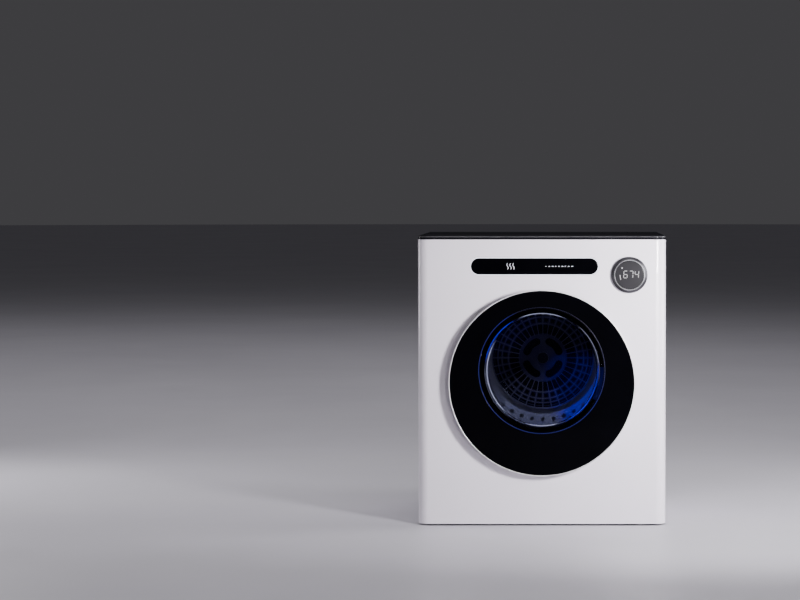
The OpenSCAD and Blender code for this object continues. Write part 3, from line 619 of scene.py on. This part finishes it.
def build_top_panel():
    """A black lid with a rounded upper edge, a fine grey bead round it and a hollow underside."""
    low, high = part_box("top_panel")
    depth = high.y - low.y
    rear_r = 2 * MM
    fillet = 2.6 * MM
    skirt = 3.0 * MM
    skin = 3.0 * MM
    recess = 0.4 * MM
    chamfer = 0.5 * MM
    section = [(skirt, high.z - skin), (skirt, low.z), (recess + chamfer, low.z),
               (recess, low.z + chamfer)]
    section += [(recess + r, z) for r, z in
                ((fillet - x, z) for x, z in arc((0.0, high.z - fillet), fillet, 0, QUARTER, 8))]
    bm = bmesh.new()
    loft(bm, plan_loops(section, depth, rear_r), True)
    obj = from_bmesh("top_panel_shown", bm)
    finish_surface(obj, 0.0, 50.0)
    stand_in(obj, "top_panel")
    bead_r = 0.45 * MM
    bead_z = high.z - fillet - 0.1 * MM
    section = arc((0.5 * MM, bead_z), bead_r, 0, TAU * 9 / 10, 9)
    loops = plan_loops(section, depth, rear_r)
    bm = bmesh.new()
    loft(bm, loops + [loops[0]], False)
    bead = from_bmesh("top_edge_bead", bm)
    finish_surface(bead, 0.0, 60.0)
    detail(bead, "top_panel", "edge_grey")


def cut(obj, cutters):
    """Cuts solids out of obj and removes them."""
    for cutter in cutters:
        mod = obj.modifiers.new("cut", "BOOLEAN")
        mod.operation = "DIFFERENCE"
        mod.solver = "EXACT"
        mod.object = cutter
    bpy.context.view_layer.update()
    mesh = bpy.data.meshes.new_from_object(
        obj.evaluated_get(bpy.context.evaluated_depsgraph_get()))
    obj.modifiers.clear()
    obj.data = mesh
    for cutter in cutters:
        bpy.data.objects.remove(cutter)
    return obj


def slab(bm, outline, near, far):
    """A solid between two depths whose outline is (x, z)."""
    loft(bm, [[(x, y, z) for x, z in outline] for y in (near, far)], True)


def prism(name, outline, near, far):
    """An object of its own that holds one slab."""
    bm = bmesh.new()
    slab(bm, outline, near, far)
    return from_bmesh(name, bm)


def pill_outline(center, width, height, steps=24):
    """A box with half-round ends, as points in x and z."""
    r = height / 2
    reach = width / 2 - r
    return (arc((center[0] + reach, center[1]), r, -QUARTER, QUARTER, steps)
            + arc((center[0] - reach, center[1]), r, QUARTER, 3 * QUARTER, steps))


def node_center(node):
    low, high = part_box(node)
    return (low + high) / 2


def build_front_panel():
    """The white front, which wraps round both upright corners, with its openings."""
    low, high = PANEL_LOW, PANEL_HIGH
    wrap = high.y - low.y
    half = high.x
    r = CORNER_R
    outer = ([(-half, low.y + wrap)]
             + arc((-half + r, low.y + r), r, 2 * QUARTER, 3 * QUARTER, 24)
             + arc((half - r, low.y + r), r, 3 * QUARTER, 4 * QUARTER, 24)
             + [(half, low.y + wrap)])
    t = PANEL_T
    inner = ([(half - t, low.y + wrap)]
             + arc((half - r, low.y + r), r - t, 4 * QUARTER, 3 * QUARTER, 24)
             + arc((-half + r, low.y + r), r - t, 3 * QUARTER, 2 * QUARTER, 24)
             + [(-half + t, low.y + wrap)])
    outline = outer + inner
    bm = bmesh.new()
    loft(bm, [[(x, y, low.z) for x, y in outline], [(x, y, high.z) for x, y in outline]], True)
    obj = from_bmesh("front_panel_shown", bm)
    near, far = low.y - 10 * MM, low.y + 12 * MM
    gasket_gap = 2 * MM
    gasket_low, gasket_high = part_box("door_gasket")
    hole_r = (gasket_high.x - gasket_low.x) / 2 + gasket_gap
    trim_low, trim_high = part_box("display_trim")
    trim = node_center("display_trim")
    dial = JOINT["dial_turn"]["pos_m"]
    latch = node_center("door_striker")
    gap = 0.3 * MM
    door_hole = arc(AXIS, hole_r, 0, TAU * 255 / 256, 255)
    dial_hole = arc((dial[0], dial[2]), DIAL_HOLE_R, 0, TAU * 95 / 96, 95)
    left, right, reach = latch.x - 5 * MM, latch.x + 7 * MM, 11 * MM
    slot = [(left, latch.z - reach), (right, latch.z - reach),
            (right, latch.z + reach), (left, latch.z + reach)]
    pill = pill_outline((trim.x, trim.z), trim_high.x - trim_low.x + 2 * gap,
                        trim_high.z - trim_low.z + 2 * gap)
    cut(obj, [prism(f"cutter_{k}", shape, near, far)
              for k, shape in enumerate((door_hole, dial_hole, slot, pill))])
    finish_surface(obj, 1.0 * MM, 40.0)
    return stand_in(obj, "front_panel")


def separate_middles(node):
    """The middle, in x and z, of each separate solid of a CAD node."""
    bm = bmesh.new()
    bm.from_mesh(frame["nodes"][node].data)
    bmesh.ops.remove_doubles(bm, verts=bm.verts, dist=1e-6)
    places = []
    seen = set()
    for start in bm.verts:
        if start in seen:
            continue
        group, waiting = [], [start]
        seen.add(start)
        while waiting:
            vert = waiting.pop()
            group.append(vert.co.copy())
            for edge in vert.link_edges:
                other = edge.other_vert(vert)
                if other not in seen:
                    seen.add(other)
                    waiting.append(other)
        xs = [c.x for c in group]
        zs = [c.z for c in group]
        places.append(((min(xs) + max(xs)) / 2, (min(zs) + max(zs)) / 2))
    bm.free()
    return places


def add_screw(bm, x, z, seat):
    """A pan head with a cross recess, standing on the plane y = seat."""
    head_r, head_h, side, flat = 4 * MM, 2 * MM, 0.35, 0.45
    arm, width, depth, taper = 2.3 * MM, 0.55 * MM, 1.1 * MM, 0.7
    sides = 24
    top = seat + head_h
    floor = top - depth
    rings = [(head_r, seat), (head_r, seat + side * head_h)]
    for k in range(1, 6):
        a = QUARTER * k / 6
        rings.append((head_r * (flat + (1 - flat) * math.cos(a)),
                      seat + head_h * (side + (1 - side) * math.sin(a))))
    turn = x * 9 + z * 23
    cross = []
    for q in range(4):
        a = q * QUARTER + turn
        for u, v in ((arm, -width), (arm, width), (width, width)):
            cross.append((u * math.cos(a) - v * math.sin(a),
                          u * math.sin(a) + v * math.cos(a)))
    loops = [circle((x, z), r, y, sides) for r, y in rings]
    loft(bm, loops, False)
    rim = [bm.verts.new((px, top, pz)) for px, _, pz in loops[-1]]
    mouth = [bm.verts.new((x + u, top, z + v)) for u, v in cross]
    base = [bm.verts.new((x + taper * u, floor, z + taper * v)) for u, v in cross]
    edges = [bm.edges.new((loop[k - 1], loop[k])) for loop in (rim, mouth)
             for k in range(len(loop))]
    bmesh.ops.triangle_fill(bm, edges=edges, use_beauty=True)
    for k in range(len(cross)):
        bm.faces.new((mouth[k - 1], mouth[k], base[k], base[k - 1]))
    bm.faces.new(base)
    bm.faces.new([bm.verts.new(p) for p in loops[0]])
    loft(bm, [loops[-1], [(px, top, pz) for px, _, pz in loops[-1]]], False)


def build_rear_screws():
    """A screw on the rear panel wherever the CAD has one."""
    bm = bmesh.new()
    panel_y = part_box("rear_panel")[1].y
    for x, z in separate_middles("rear_screws"):
        add_screw(bm, x, z, panel_y)
    obj = from_bmesh("rear_screws_shown", bm)
    finish_surface(obj, 0.0, 40.0)
    return stand_in(obj, "rear_screws")


# Door --------------------------------------------------------------------------------------

RIM_LOW, RIM_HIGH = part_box("door_rim")
DOOR_X = (RIM_LOW.x + RIM_HIGH.x) / 2
DOOR_Z = (RIM_LOW.z + RIM_HIGH.z) / 2
DOOR_R = (RIM_HIGH.x - RIM_LOW.x) / 2
DOOR_FACE = RIM_LOW.y
RIM_W = 1.7 * MM


def window_radius(node):
    """The lit ring and the pane are shown a little smaller than in the CAD."""
    low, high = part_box(node)
    return (high.x - low.x) / 2 - 1.6 * MM


def build_door_rim():
    """The bright ring round the glass, with a rounded nose and a flange behind the glass."""
    back = RIM_HIGH.y
    inner_r = DOOR_R - RIM_W
    flange_r = DOOR_R - 29 * MM
    front = back - 0.9 * MM
    outline = rounded_profile([
        (DOOR_R, back), (DOOR_R, DOOR_FACE), (inner_r, DOOR_FACE), (inner_r, front),
        (flange_r, front), (flange_r, back)], 1.1 * MM, 5)
    obj = lathe("door_rim_shown", outline, (DOOR_X, DOOR_Z), 256)
    finish_surface(obj, 0.0, 60.0)
    return stand_in(obj, "door_rim")


def build_door_cover():
    """Black glass disc with a round window hole above its middle and softly ground edges."""
    low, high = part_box("door_cover")
    outer_r = DOOR_R - RIM_W - 0.15 * MM
    hole_r = window_radius("window_light_ring") + 0.3 * MM
    edge = 1.2 * MM
    hole_edge = 0.6 * edge
    count = 256
    near, far = low.y, high.y
    # each point: 0 at the hole and 1 at the outer edge, what that radius gains, and the depth
    path = [(1.0, 0.0, far), (1.0, 0.0, near + edge)]
    for k in range(1, 6):
        a = QUARTER * k / 5
        path.append((1.0, -edge * (1 - math.cos(a)), near + edge * (1 - math.sin(a))))
    for share in (0.75, 0.5, 0.25):
        path.append((share, 0.0, near))
    for k in range(5, 0, -1):
        a = QUARTER * k / 5
        path.append((0.0, hole_edge * (1 - math.cos(a)), near + hole_edge * (1 - math.sin(a))))
    path += [(0.0, 0.0, near + hole_edge), (0.0, 0.0, far)]
    loops = []
    for share, grow, y in path:
        loop = []
        for k in range(count):
            a = TAU * k / count
            c, s = math.cos(a), math.sin(a)
            outer = Vector((DOOR_X + (outer_r + grow * (share > 0.5)) * c,
                            DOOR_Z + (outer_r + grow * (share > 0.5)) * s))
            inner = Vector((AXIS_X + (hole_r + grow * (share < 0.5)) * c,
                            AXIS_Z + (hole_r + grow * (share < 0.5)) * s))
            p = outer * share + inner * (1 - share)
            loop.append((p.x, y, p.y))
        loops.append(loop)
    bm = bmesh.new()
    loft(bm, loops + [loops[0]], False)
    obj = from_bmesh("door_cover_shown", bm)
    finish_surface(obj, 0.0, 60.0)
    return stand_in(obj, "door_cover")


def build_window():
    """The clear pane and the glowing ring round it, whose glow by angle is painted reflection and
    shade.
    """
    low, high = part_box("window_light_ring")
    outer = window_radius("window_light_ring")
    inner = outer - 1.2 * MM
    near = low.y + 0.3 * MM
    outline = rounded_profile([(outer, high.y), (outer, near), (inner, near),
                               (inner, high.y)], 0.8 * MM)
    ring = lathe("window_light_ring_shown", outline, AXIS, 256)
    finish_surface(ring, 0.0, 60.0)
    stand_in(ring, "window_light_ring")
    low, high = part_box("door_window")
    radius = window_radius("door_window")
    edge = 0.8 * MM
    outline = [(0.0, high.y), (radius - edge, high.y), (radius, high.y - edge),
               (radius, low.y + edge), (radius - edge, low.y), (0.0, low.y)]
    pane = lathe("door_window_shown", outline, AXIS, 192, closed=False)
    finish_surface(pane, 0.0, 40.0)
    stand_in(pane, "door_window")


def build_bowl():
    """A deep glass bowl with a thick rolled edge."""
    low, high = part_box("door_bowl")
    flange_r = (high.x - low.x) / 2
    wall = 4 * MM
    bowl_r = flange_r - 8 * MM
    top = low.y
    start = low.y + wall
    reach = high.y - start
    side_power, floor_power = 0.5, 0.7
    steps = 28
    outer, inner = [], []
    for k in range(steps + 1):
        a = QUARTER * k / steps
        across, along = math.cos(a) ** side_power, math.sin(a) ** floor_power
        outer.append((bowl_r * across, start + reach * along))
        inner.append(((bowl_r - wall) * across, start + (reach - wall) * along))
    outer[-1] = (0.0, outer[-1][1])
    inner[-1] = (0.0, inner[-1][1])
    edge = 1.2 * MM
    lip = [(bowl_r - wall + edge, top), (flange_r - edge, top), (flange_r, top + edge),
           (flange_r, start - edge), (flange_r - edge, start), (bowl_r + edge, start)]
    outline = list(reversed(inner)) + lip + outer[1:]
    obj = lathe("door_bowl_shown", outline, AXIS, 192, closed=False)
    finish_surface(obj, 0.0, 50.0)
    stand_in(obj, "door_bowl")
    build_bowl_edge(top, bowl_r)


def painted_highlight_arc(name, radius, start, end, thick, y, material):
    """A slim glowing bead along part of the bowl's edge, thinning towards both ends: a painted
    highlight on the bowl's rim.
    """
    degrees_a_step, tip, taper, sides = 1.2, 0.12, 6, 8
    steps = max(12, int(abs(end - start) / degrees_a_step))
    loops = []
    for k in range(steps + 1):
        t = k / steps
        a = math.radians(start + (end - start) * t)
        r = thick * max(tip, min(1.0, taper * t, taper * (1 - t)))
        c = Vector((AXIS_X + radius * math.cos(a), y, AXIS_Z + radius * math.sin(a)))
        outward = Vector((math.cos(a), 0, math.sin(a)))
        loops.append([c + outward * (r * math.cos(TAU * q / sides))
                      + Vector((0, r * math.sin(TAU * q / sides), 0)) for q in range(sides)])
    bm = bmesh.new()
    loft(bm, loops, True)
    obj = from_bmesh(name, bm)
    finish_surface(obj, 0.0, 60.0)
    return detail(obj, "door_bowl", material)


def build_bowl_edge(top, bowl_r):
    """Two fine beads round the bowl's edge, painted highlight arcs beside them and a dim painted
    blue sheen.
    """
    for k, radius in enumerate((bowl_r - 4.2 * MM, bowl_r + 0.6 * MM)):
        outline = arc((radius, top + 1.2 * MM), 0.8 * MM, 0, TAU * 11 / 12, 11)
        bead = lathe(f"bowl_bead_{k}", outline, AXIS, 224)
        finish_surface(bead, 0.0, 60.0)
        detail(bead, "door_bowl", "lip_gloss")
    # Painted highlights: glowing arcs where the bowl's rim would catch the lights.
    painted_highlights = [
        # radius, first and last angle in degrees, half thickness, material
        (bowl_r - 0.2 * MM, 66, 114, 0.75 * MM, "pale_arc"),
        (bowl_r - 3.4 * MM, 253, 288, 0.75 * MM, "pale_arc"),
        (bowl_r - 4.4 * MM, 146, 232, 0.80 * MM, "pale_arc"),
        (bowl_r - 2.2 * MM, 176, 228, 0.35 * MM, "grey_arc"),
        (bowl_r + 0.8 * MM, -14, 53, 0.60 * MM, "grey_arc"),
        (bowl_r + 0.3 * MM, 4, 50, 0.45 * MM, "pale_arc"),
        (bowl_r - 0.2 * MM, 119, 172, 0.85 * MM, "blue_arc"),
        (bowl_r - 2.8 * MM, -62, -10, 0.75 * MM, "blue_arc"),
        (bowl_r + 0.2 * MM, 172, 236, 0.35 * MM, "grey_arc"),
    ]
    for k, (radius, start, end, thick, material) in enumerate(painted_highlights):
        painted_highlight_arc(f"bowl_edge_{k}", radius, start, end, thick, top - 0.6 * MM, material)
    # A painted blue sheen: a dim glowing patch on the bowl's edge at the lower right.
    glow = bmesh.new()
    sector(glow, bowl_r + 1.8 * MM, bowl_r + 9.5 * MM, math.radians(-29), math.radians(3),
           top - 0.3 * MM, top - 0.7 * MM, 16)
    detail(from_bmesh("bowl_edge_glow", glow), "door_bowl", "deep_blue")


# Drum --------------------------------------------------------------------------------------

def build_drum_shell():
    """Stainless shell with three shallow rolled beads."""
    low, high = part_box("drum_shell")
    radius = (high.x - low.x) / 2
    sheet = 1.2 * MM
    length = high.y - low.y
    bead_places, bead_width, bead_depth = (0.12, 0.5, 0.88), 0.012, 1.2 * MM
    steps = 80
    outer, inner = [], []
    for k in range(steps + 1):
        t = k / steps
        y = low.y + length * t
        dip = bead_depth * sum(math.exp(-((t - c) / bead_width) ** 2) for c in bead_places)
        outer.append((radius - dip, y))
        inner.append((radius - sheet - dip, y))
    obj = lathe("drum_shell_shown", outer + inner[::-1], AXIS, 192)
    finish_surface(obj, 0.0, 60.0)
    return stand_in(obj, "drum_shell")


def sector(bm, r_in, r_out, start, end, near, far, steps):
    """A plate bounded by two arcs about the drum's axis and two radii."""
    slab(bm, arc(AXIS, r_out, start, end, steps) + arc(AXIS, r_in, end, start, steps), near, far)


def flat_ring(bm, r_out, r_in, near, far, count=160, ease=0.0):
    """A ring about the drum's axis, with its edges eased if wanted."""
    section = [(r_out, far), (r_out, near), (r_in, near), (r_in, far)]
    if ease:
        section = rounded_profile(section, ease, 2)
    loops = [circle(AXIS, r, y, count) for r, y in section]
    loft(bm, loops + [loops[0]], False)


def ring_band(bm, r_out, r_in, near, far, count=200):
    flat_ring(bm, r_out, r_in, near, far, count, 0.4 * MM)


def kidney(r_in, r_out, middle, half_span):
    """A curved slot with round ends, about the drum's axis."""
    r_mid, cap = (r_in + r_out) / 2, (r_out - r_in) / 2
    a, b = middle - half_span, middle + half_span
    end_a = (AXIS_X + r_mid * math.cos(a), AXIS_Z + r_mid * math.sin(a))
    end_b = (AXIS_X + r_mid * math.cos(b), AXIS_Z + r_mid * math.sin(b))
    return (arc(AXIS, r_out, a, b, 16)
            + arc(end_b, cap, b, b + math.pi, 12)[1:-1]
            + arc(AXIS, r_in, b, a, 16)
            + arc(end_a, cap, a - math.pi, a, 12)[1:-1])


RIBS = 36
PLATE_R = 51 * MM
HUB_R = 12.2 * MM


def build_filter_cover():
    """The ribbed cover: fine radial ribs, rings, and a middle plate with four kidney slots."""
    low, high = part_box("filter_cover")
    outer_r = (high.x - low.x) / 2
    near, far = low.y, low.y + 2.5 * MM
    rim_in = outer_r - 2.2 * MM
    half = 0.45 * MM
    cage = bmesh.new()
    ring_band(cage, outer_r, rim_in, near, high.y)
    for r in (74 * MM, 88 * MM, 97 * MM):
        ring_band(cage, r + half, r - half, near + 0.3 * MM, far)
    for k in range(RIBS):
        a = TAU * k / RIBS
        along = Vector((math.cos(a), 0, math.sin(a)))
        across = Vector((-math.sin(a), 0, math.cos(a)))
        section = [(-half, far), (-half, near + 0.4 * MM), (-half * 0.4, near),
                   (half * 0.4, near), (half, near + 0.4 * MM), (half, far)]
        loops = []
        for r in (PLATE_R - 1 * MM, rim_in + 0.5 * MM):
            foot = Vector((AXIS_X, 0, AXIS_Z)) + along * r
            loops.append([foot + across * u + Vector((0, y, 0)) for u, y in section])
        loft(cage, loops, True)
    cage = from_bmesh("filter_cage", cage)
    finish_surface(cage, 0.0, 40.0)
    detail(cage, "filter_cover", "rib_plastic")

    plate = prism("filter_cover_shown", arc(AXIS, PLATE_R, 0, TAU * 127 / 128, 127),
                  near, far)
    before, behind = near - 10 * MM, far + 10 * MM
    cutters = [prism("cut_hub", arc(AXIS, HUB_R, 0, TAU * 47 / 48, 47),
                     before, behind)]
    for q in range(4):
        shape = kidney(29 * MM, 45 * MM, TAU / 8 + q * TAU / 4, math.radians(24))
        cutters.append(prism(f"cut_slot_{q}", shape, before, behind))
    cut(plate, cutters)
    finish_surface(plate, 0.5 * MM, 40.0)
    stand_in(plate, "filter_cover")

    hub = bmesh.new()
    ring_band(hub, HUB_R + 0.8 * MM, HUB_R - 0.1 * MM, near, far, 96)
    hub = from_bmesh("filter_hub_ring", hub)
    finish_surface(hub, 0.0, 50.0)
    detail(hub, "filter_cover", "rib_plastic")
    top, groove = near + 0.9 * MM, near + 1.4 * MM
    knob = lathe("filter_knob", [
        (0.0, top), (6.0 * MM, top), (6.6 * MM, groove), (7.4 * MM, groove), (8.0 * MM, top),
        (11.4 * MM, top), (12.0 * MM, near + 1.3 * MM), (12.0 * MM, far), (0.0, far)],
        AXIS, 64, closed=False)
    finish_surface(knob, 0.0, 50.0)
    detail(knob, "filter_cover", "dark_plastic")
    build_filter_lattice(near + 1.6 * MM, near + 2.4 * MM, rim_in)


def build_filter_lattice(near, far, rim_r):
    """The finer plate behind the ribs, with rows of holes between them."""
    # each row: inner radius, outer radius, the share of the pitch that is open
    rows = [(52.5 * MM, 71.5 * MM, 0.84), (77 * MM, 85.5 * MM, 0.6), (90.5 * MM, 95 * MM, 0.6),
            (99 * MM, 103 * MM, 0.8), (104.5 * MM, rim_r - 0.4 * MM, 0.8)]
    bm = bmesh.new()
    start = PLATE_R - 1 * MM
    pitch = TAU / RIBS
    for r_in, r_out, share in rows:
        flat_ring(bm, r_in, start, near, far)
        for k in range(RIBS):
            middle = pitch * k
            edge = pitch * (1 - share) / 2
            sector(bm, r_in, r_out, middle - edge, middle + edge, near, far, 2)
        start = r_out
    flat_ring(bm, rim_r + 0.3 * MM, start, near, far)
    lattice = from_bmesh("filter_lattice", bm)
    finish_surface(lattice, 0.0, 40.0)
    detail(lattice, "filter_cover", "filter_plastic")


# Dial and display --------------------------------------------------------------------------

def build_dial():
    """A bevelled metal ring with a fine knurl round its edge, and a dark face inside it."""
    pos = JOINT["dial_turn"]["pos_m"]
    center = (pos[0], pos[2])
    low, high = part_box("dial_ring")
    outer = (high.x - low.x) / 2
    face_low, face_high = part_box("dial_face")
    face_r = (face_high.x - face_low.x) / 2
    near, far = low.y, high.y
    grip, ledge = far - 4.2 * MM, far - 4.5 * MM
    band_in, band_out, inner = face_r + 1.2 * MM, face_r + 2.2 * MM, face_r + 0.5 * MM
    outline = rounded_profile([
        (DIAL_HOLE_R, far), (outer, far), (outer, grip), (face_r + 3.4 * MM, near + 0.4 * MM),
        (band_out, near), (band_in, near), (inner, near + 0.8 * MM), (inner, ledge),
        (DIAL_HOLE_R, ledge)], 0.35 * MM, 3)
    ring = lathe("dial_ring_shown", outline, center, 240)
    knurls, knurl_depth = 120, 0.012
    for v in ring.data.vertices:
        dx, dz = v.co.x - center[0], v.co.z - center[1]
        if math.hypot(dx, dz) > outer - 0.4 * MM and v.co.y > grip:
            wave = 0.5 + 0.5 * math.cos(knurls * math.atan2(dz, dx))
            k = 1 - knurl_depth * wave
            v.co.x, v.co.z = center[0] + dx * k, center[1] + dz * k
    finish_surface(ring, 0.0, 40.0)
    stand_in(ring, "dial_ring")
    back = near + 0.25 * MM
    band = lathe("dial_bright_band", rounded_profile([
        (band_out, back), (band_out, near), (band_in, near), (band_in, back)], 0.1 * MM, 2),
        center, 192)
    finish_surface(band, 0.0, 60.0)
    detail(band, "dial_ring", "dial_bright")
    stem_r = 20 * MM
    edge = 0.7 * MM
    back = face_low.y + 2.4 * MM
    front = face_low.y
    face = lathe("dial_face_shown", [
        (0.0, front), (face_r - edge, front), (face_r - 0.2 * MM, front + 0.2 * MM),
        (face_r, front + edge), (face_r, back), (stem_r, back), (stem_r, face_high.y),
        (0.0, face_high.y)], center, 144, closed=False)
    finish_surface(face, 0.0, 35.0)
    stand_in(face, "dial_face")
    build_digits(center, front)


SEGMENTS = {
    # top, upper left, upper right, middle, lower left, lower right, bottom
    "6": (1, 1, 0, 1, 1, 1, 1),
    "7": (1, 0, 1, 0, 0, 1, 0),
    "4": (0, 1, 1, 1, 0, 1, 0),
}


def bar(bm, a, b, width, y, thick):
    """A flat bar with pointed ends from a to b, in x and z, standing on the plane y."""
    a, b = Vector(a), Vector(b)
    u = (b - a).normalized()
    v = Vector((-u.y, u.x)) * width / 2
    tip = u * width / 2
    slab(bm, [a, a + tip + v, b - tip + v, b, b - tip - v, a + tip - v], y, y - thick)


def bar_ends(x0, z0):
    """The two ends of each of a digit's seven bars, in the order that SEGMENTS gives them."""
    width, height, slant, gap = 7.2 * MM, 13.8 * MM, 0.07, 0.45 * MM
    half = height / 2

    def at(u, v):
        return (x0 + u + v * slant, z0 + v)

    return [
        (at(gap, height), at(width - gap, height)),
        (at(0, half + gap), at(0, height - gap)),
        (at(width, half + gap), at(width, height - gap)),
        (at(gap, half), at(width - gap, half)),
        (at(0, gap), at(0, half - gap)),
        (at(width, gap), at(width, half - gap)),
        (at(gap, 0), at(width - gap, 0)),
    ]


def build_digits(center, y):
    """Three numbers of seven bars each, slanted, with a dot and a stroke beside them."""
    bm = bmesh.new()
    pen, pitch, thick = 1.25 * MM, 11.3 * MM, 0.15 * MM
    for k, digit in enumerate("674"):
        ends = bar_ends(center[0] - 12.2 * MM + k * pitch, center[1] - 5.8 * MM)
        for lit, (a, b) in zip(SEGMENTS[digit], ends):
            if lit:
                bar(bm, a, b, pen, y, thick)
    bar(bm, (center[0] - 19.4 * MM, center[1] + 0.4 * MM),
        (center[0] - 17.6 * MM, center[1] - 10.0 * MM), 1.5 * MM, y, thick)
    dot = arc((center[0] - 15 * MM, center[1] + 14 * MM), 1.5 * MM, 0, TAU * 15 / 16, 15)
    slab(bm, dot, y, y - thick)
    detail(from_bmesh("dial_digits", bm), "dial_face", "digit_guide")


def pill_loops(center, width, height, section):
    """The pill's outline at each (inset, depth) of a section."""
    return [[(x, y, z) for x, z in
             pill_outline((center.x, center.z), width - 2 * inset, height - 2 * inset)]
            for inset, y in section]


def build_display():
    """The pill-shaped black display, its glowing outline, which is a painted highlight along the
    bezel's edge, and a few plain marks.
    """
    low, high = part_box("display_trim")
    mid = (low + high) / 2
    width, height = high.x - low.x, high.z - low.z
    band = 1.3 * MM
    edge = 0.3 * MM
    far = low.y + 2.4 * MM
    section = [(0.0, far), (0.0, low.y + edge), (edge, low.y), (band - edge, low.y),
               (band, low.y + edge), (band, far)]
    loops = pill_loops(mid, width, height, section)
    bm = bmesh.new()
    loft(bm, loops + [loops[0]], False)
    trim = from_bmesh("display_trim_shown", bm)
    finish_surface(trim, 0.0, 60.0)
    # The trim glows: a painted highlight along the bezel's edge.
    stand_in(trim, "display_trim", material="pale_guide")
    low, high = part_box("display_panel")
    width, height = high.x - low.x, high.z - low.z
    edge = 0.5 * MM
    section = [(0.0, low.y + 2.5 * MM), (0.0, low.y + edge), (0.15 * MM, low.y + 0.15 * MM),
               (edge, low.y)]
    bm = bmesh.new()
    loft(bm, pill_loops(mid, width, height, section), True)
    panel = from_bmesh("display_panel_shown", bm)
    finish_surface(panel, 0.0, 35.0)
    stand_in(panel, "display_panel")
    build_marks(mid, low.y)


def build_marks(mid, y):
    """Three heat waves at the left of the display and a row of dashes at its right."""
    bm = bmesh.new()
    thick = 0.12 * MM
    for k in range(3):
        x0 = mid.x - 54 * MM + k * 6 * MM
        points = [(x0 + 1.6 * MM * math.sin(TAU * t / 12), mid.z - 6 * MM + t * 1.0 * MM)
                  for t in range(13)]
        for a, b in zip(points, points[1:]):
            bar(bm, a, b, 1.3 * MM, y, thick)
    for k in range(9):
        x0 = mid.x + 22 * MM + k * 6.5 * MM
        length = 2.2 * MM + (k % 3) * 0.8 * MM
        bar(bm, (x0, mid.z), (x0 + length, mid.z), 0.9 * MM, y, thick)
    detail(from_bmesh("display_marks", bm), "display_panel", "pale_guide")


# Floor -------------------------------------------------------------------------------------

def build_floor():
    """A plain pale disc that reaches far past the dryer."""
    s = Shader("floor", 0.5)
    s.color(s.noise(1.2, 4.0), (0.52, 0.51, 0.56), (0.56, 0.55, 0.60))
    s.rough(s.noise(6.0, 5.0), 0.42, 0.6)
    s.bump(s.noise(260.0, 4.0), 0.0002, 0.3)
    bm = bmesh.new()
    rings = []
    for r in (0.4, 1.0, 2.5, 6.0, 16.0, 40.0):
        rings.append([(r * math.cos(TAU * k / 96), r * math.sin(TAU * k / 96), 0.0)
                      for k in range(96)])
    made = loft(bm, rings, False)
    bm.faces.new(made[0])
    obj = from_bmesh("floor", bm)
    obj.data.materials.append(s.material)


# Everything --------------------------------------------------------------------------------

SHOWN_IN = {"drum_rear_wall": "drum_wall", "door_frame": "frame_black"}


def dress_the_rest():
    """Every other CAD node keeps its shape and gets its material; all but a few fine ones also get
    small rounded edges.
    """
    done = {n for o in bpy.data.objects for n in o.get("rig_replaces", [])}
    fine = {"filter_mesh", "control_board", "heater_element", "blower_wheel"}
    for node, obj in frame["nodes"].items():
        if node in done:
            continue
        if node in fine:
            obj.data.materials.clear()
            obj.data.materials.append(MATERIALS[SLOT_OF[node]])
            continue
        copy_of(node, 0.3 * MM, SHOWN_IN.get(node))


add_camera()
add_lights()
add_drum_lights()
build_floor()
build_top_panel()
build_front_panel()
build_rear_screws()
build_door_rim()
build_door_cover()
build_window()
build_bowl()
build_drum_shell()
build_filter_cover()
build_dial()
build_display()
dress_the_rest()
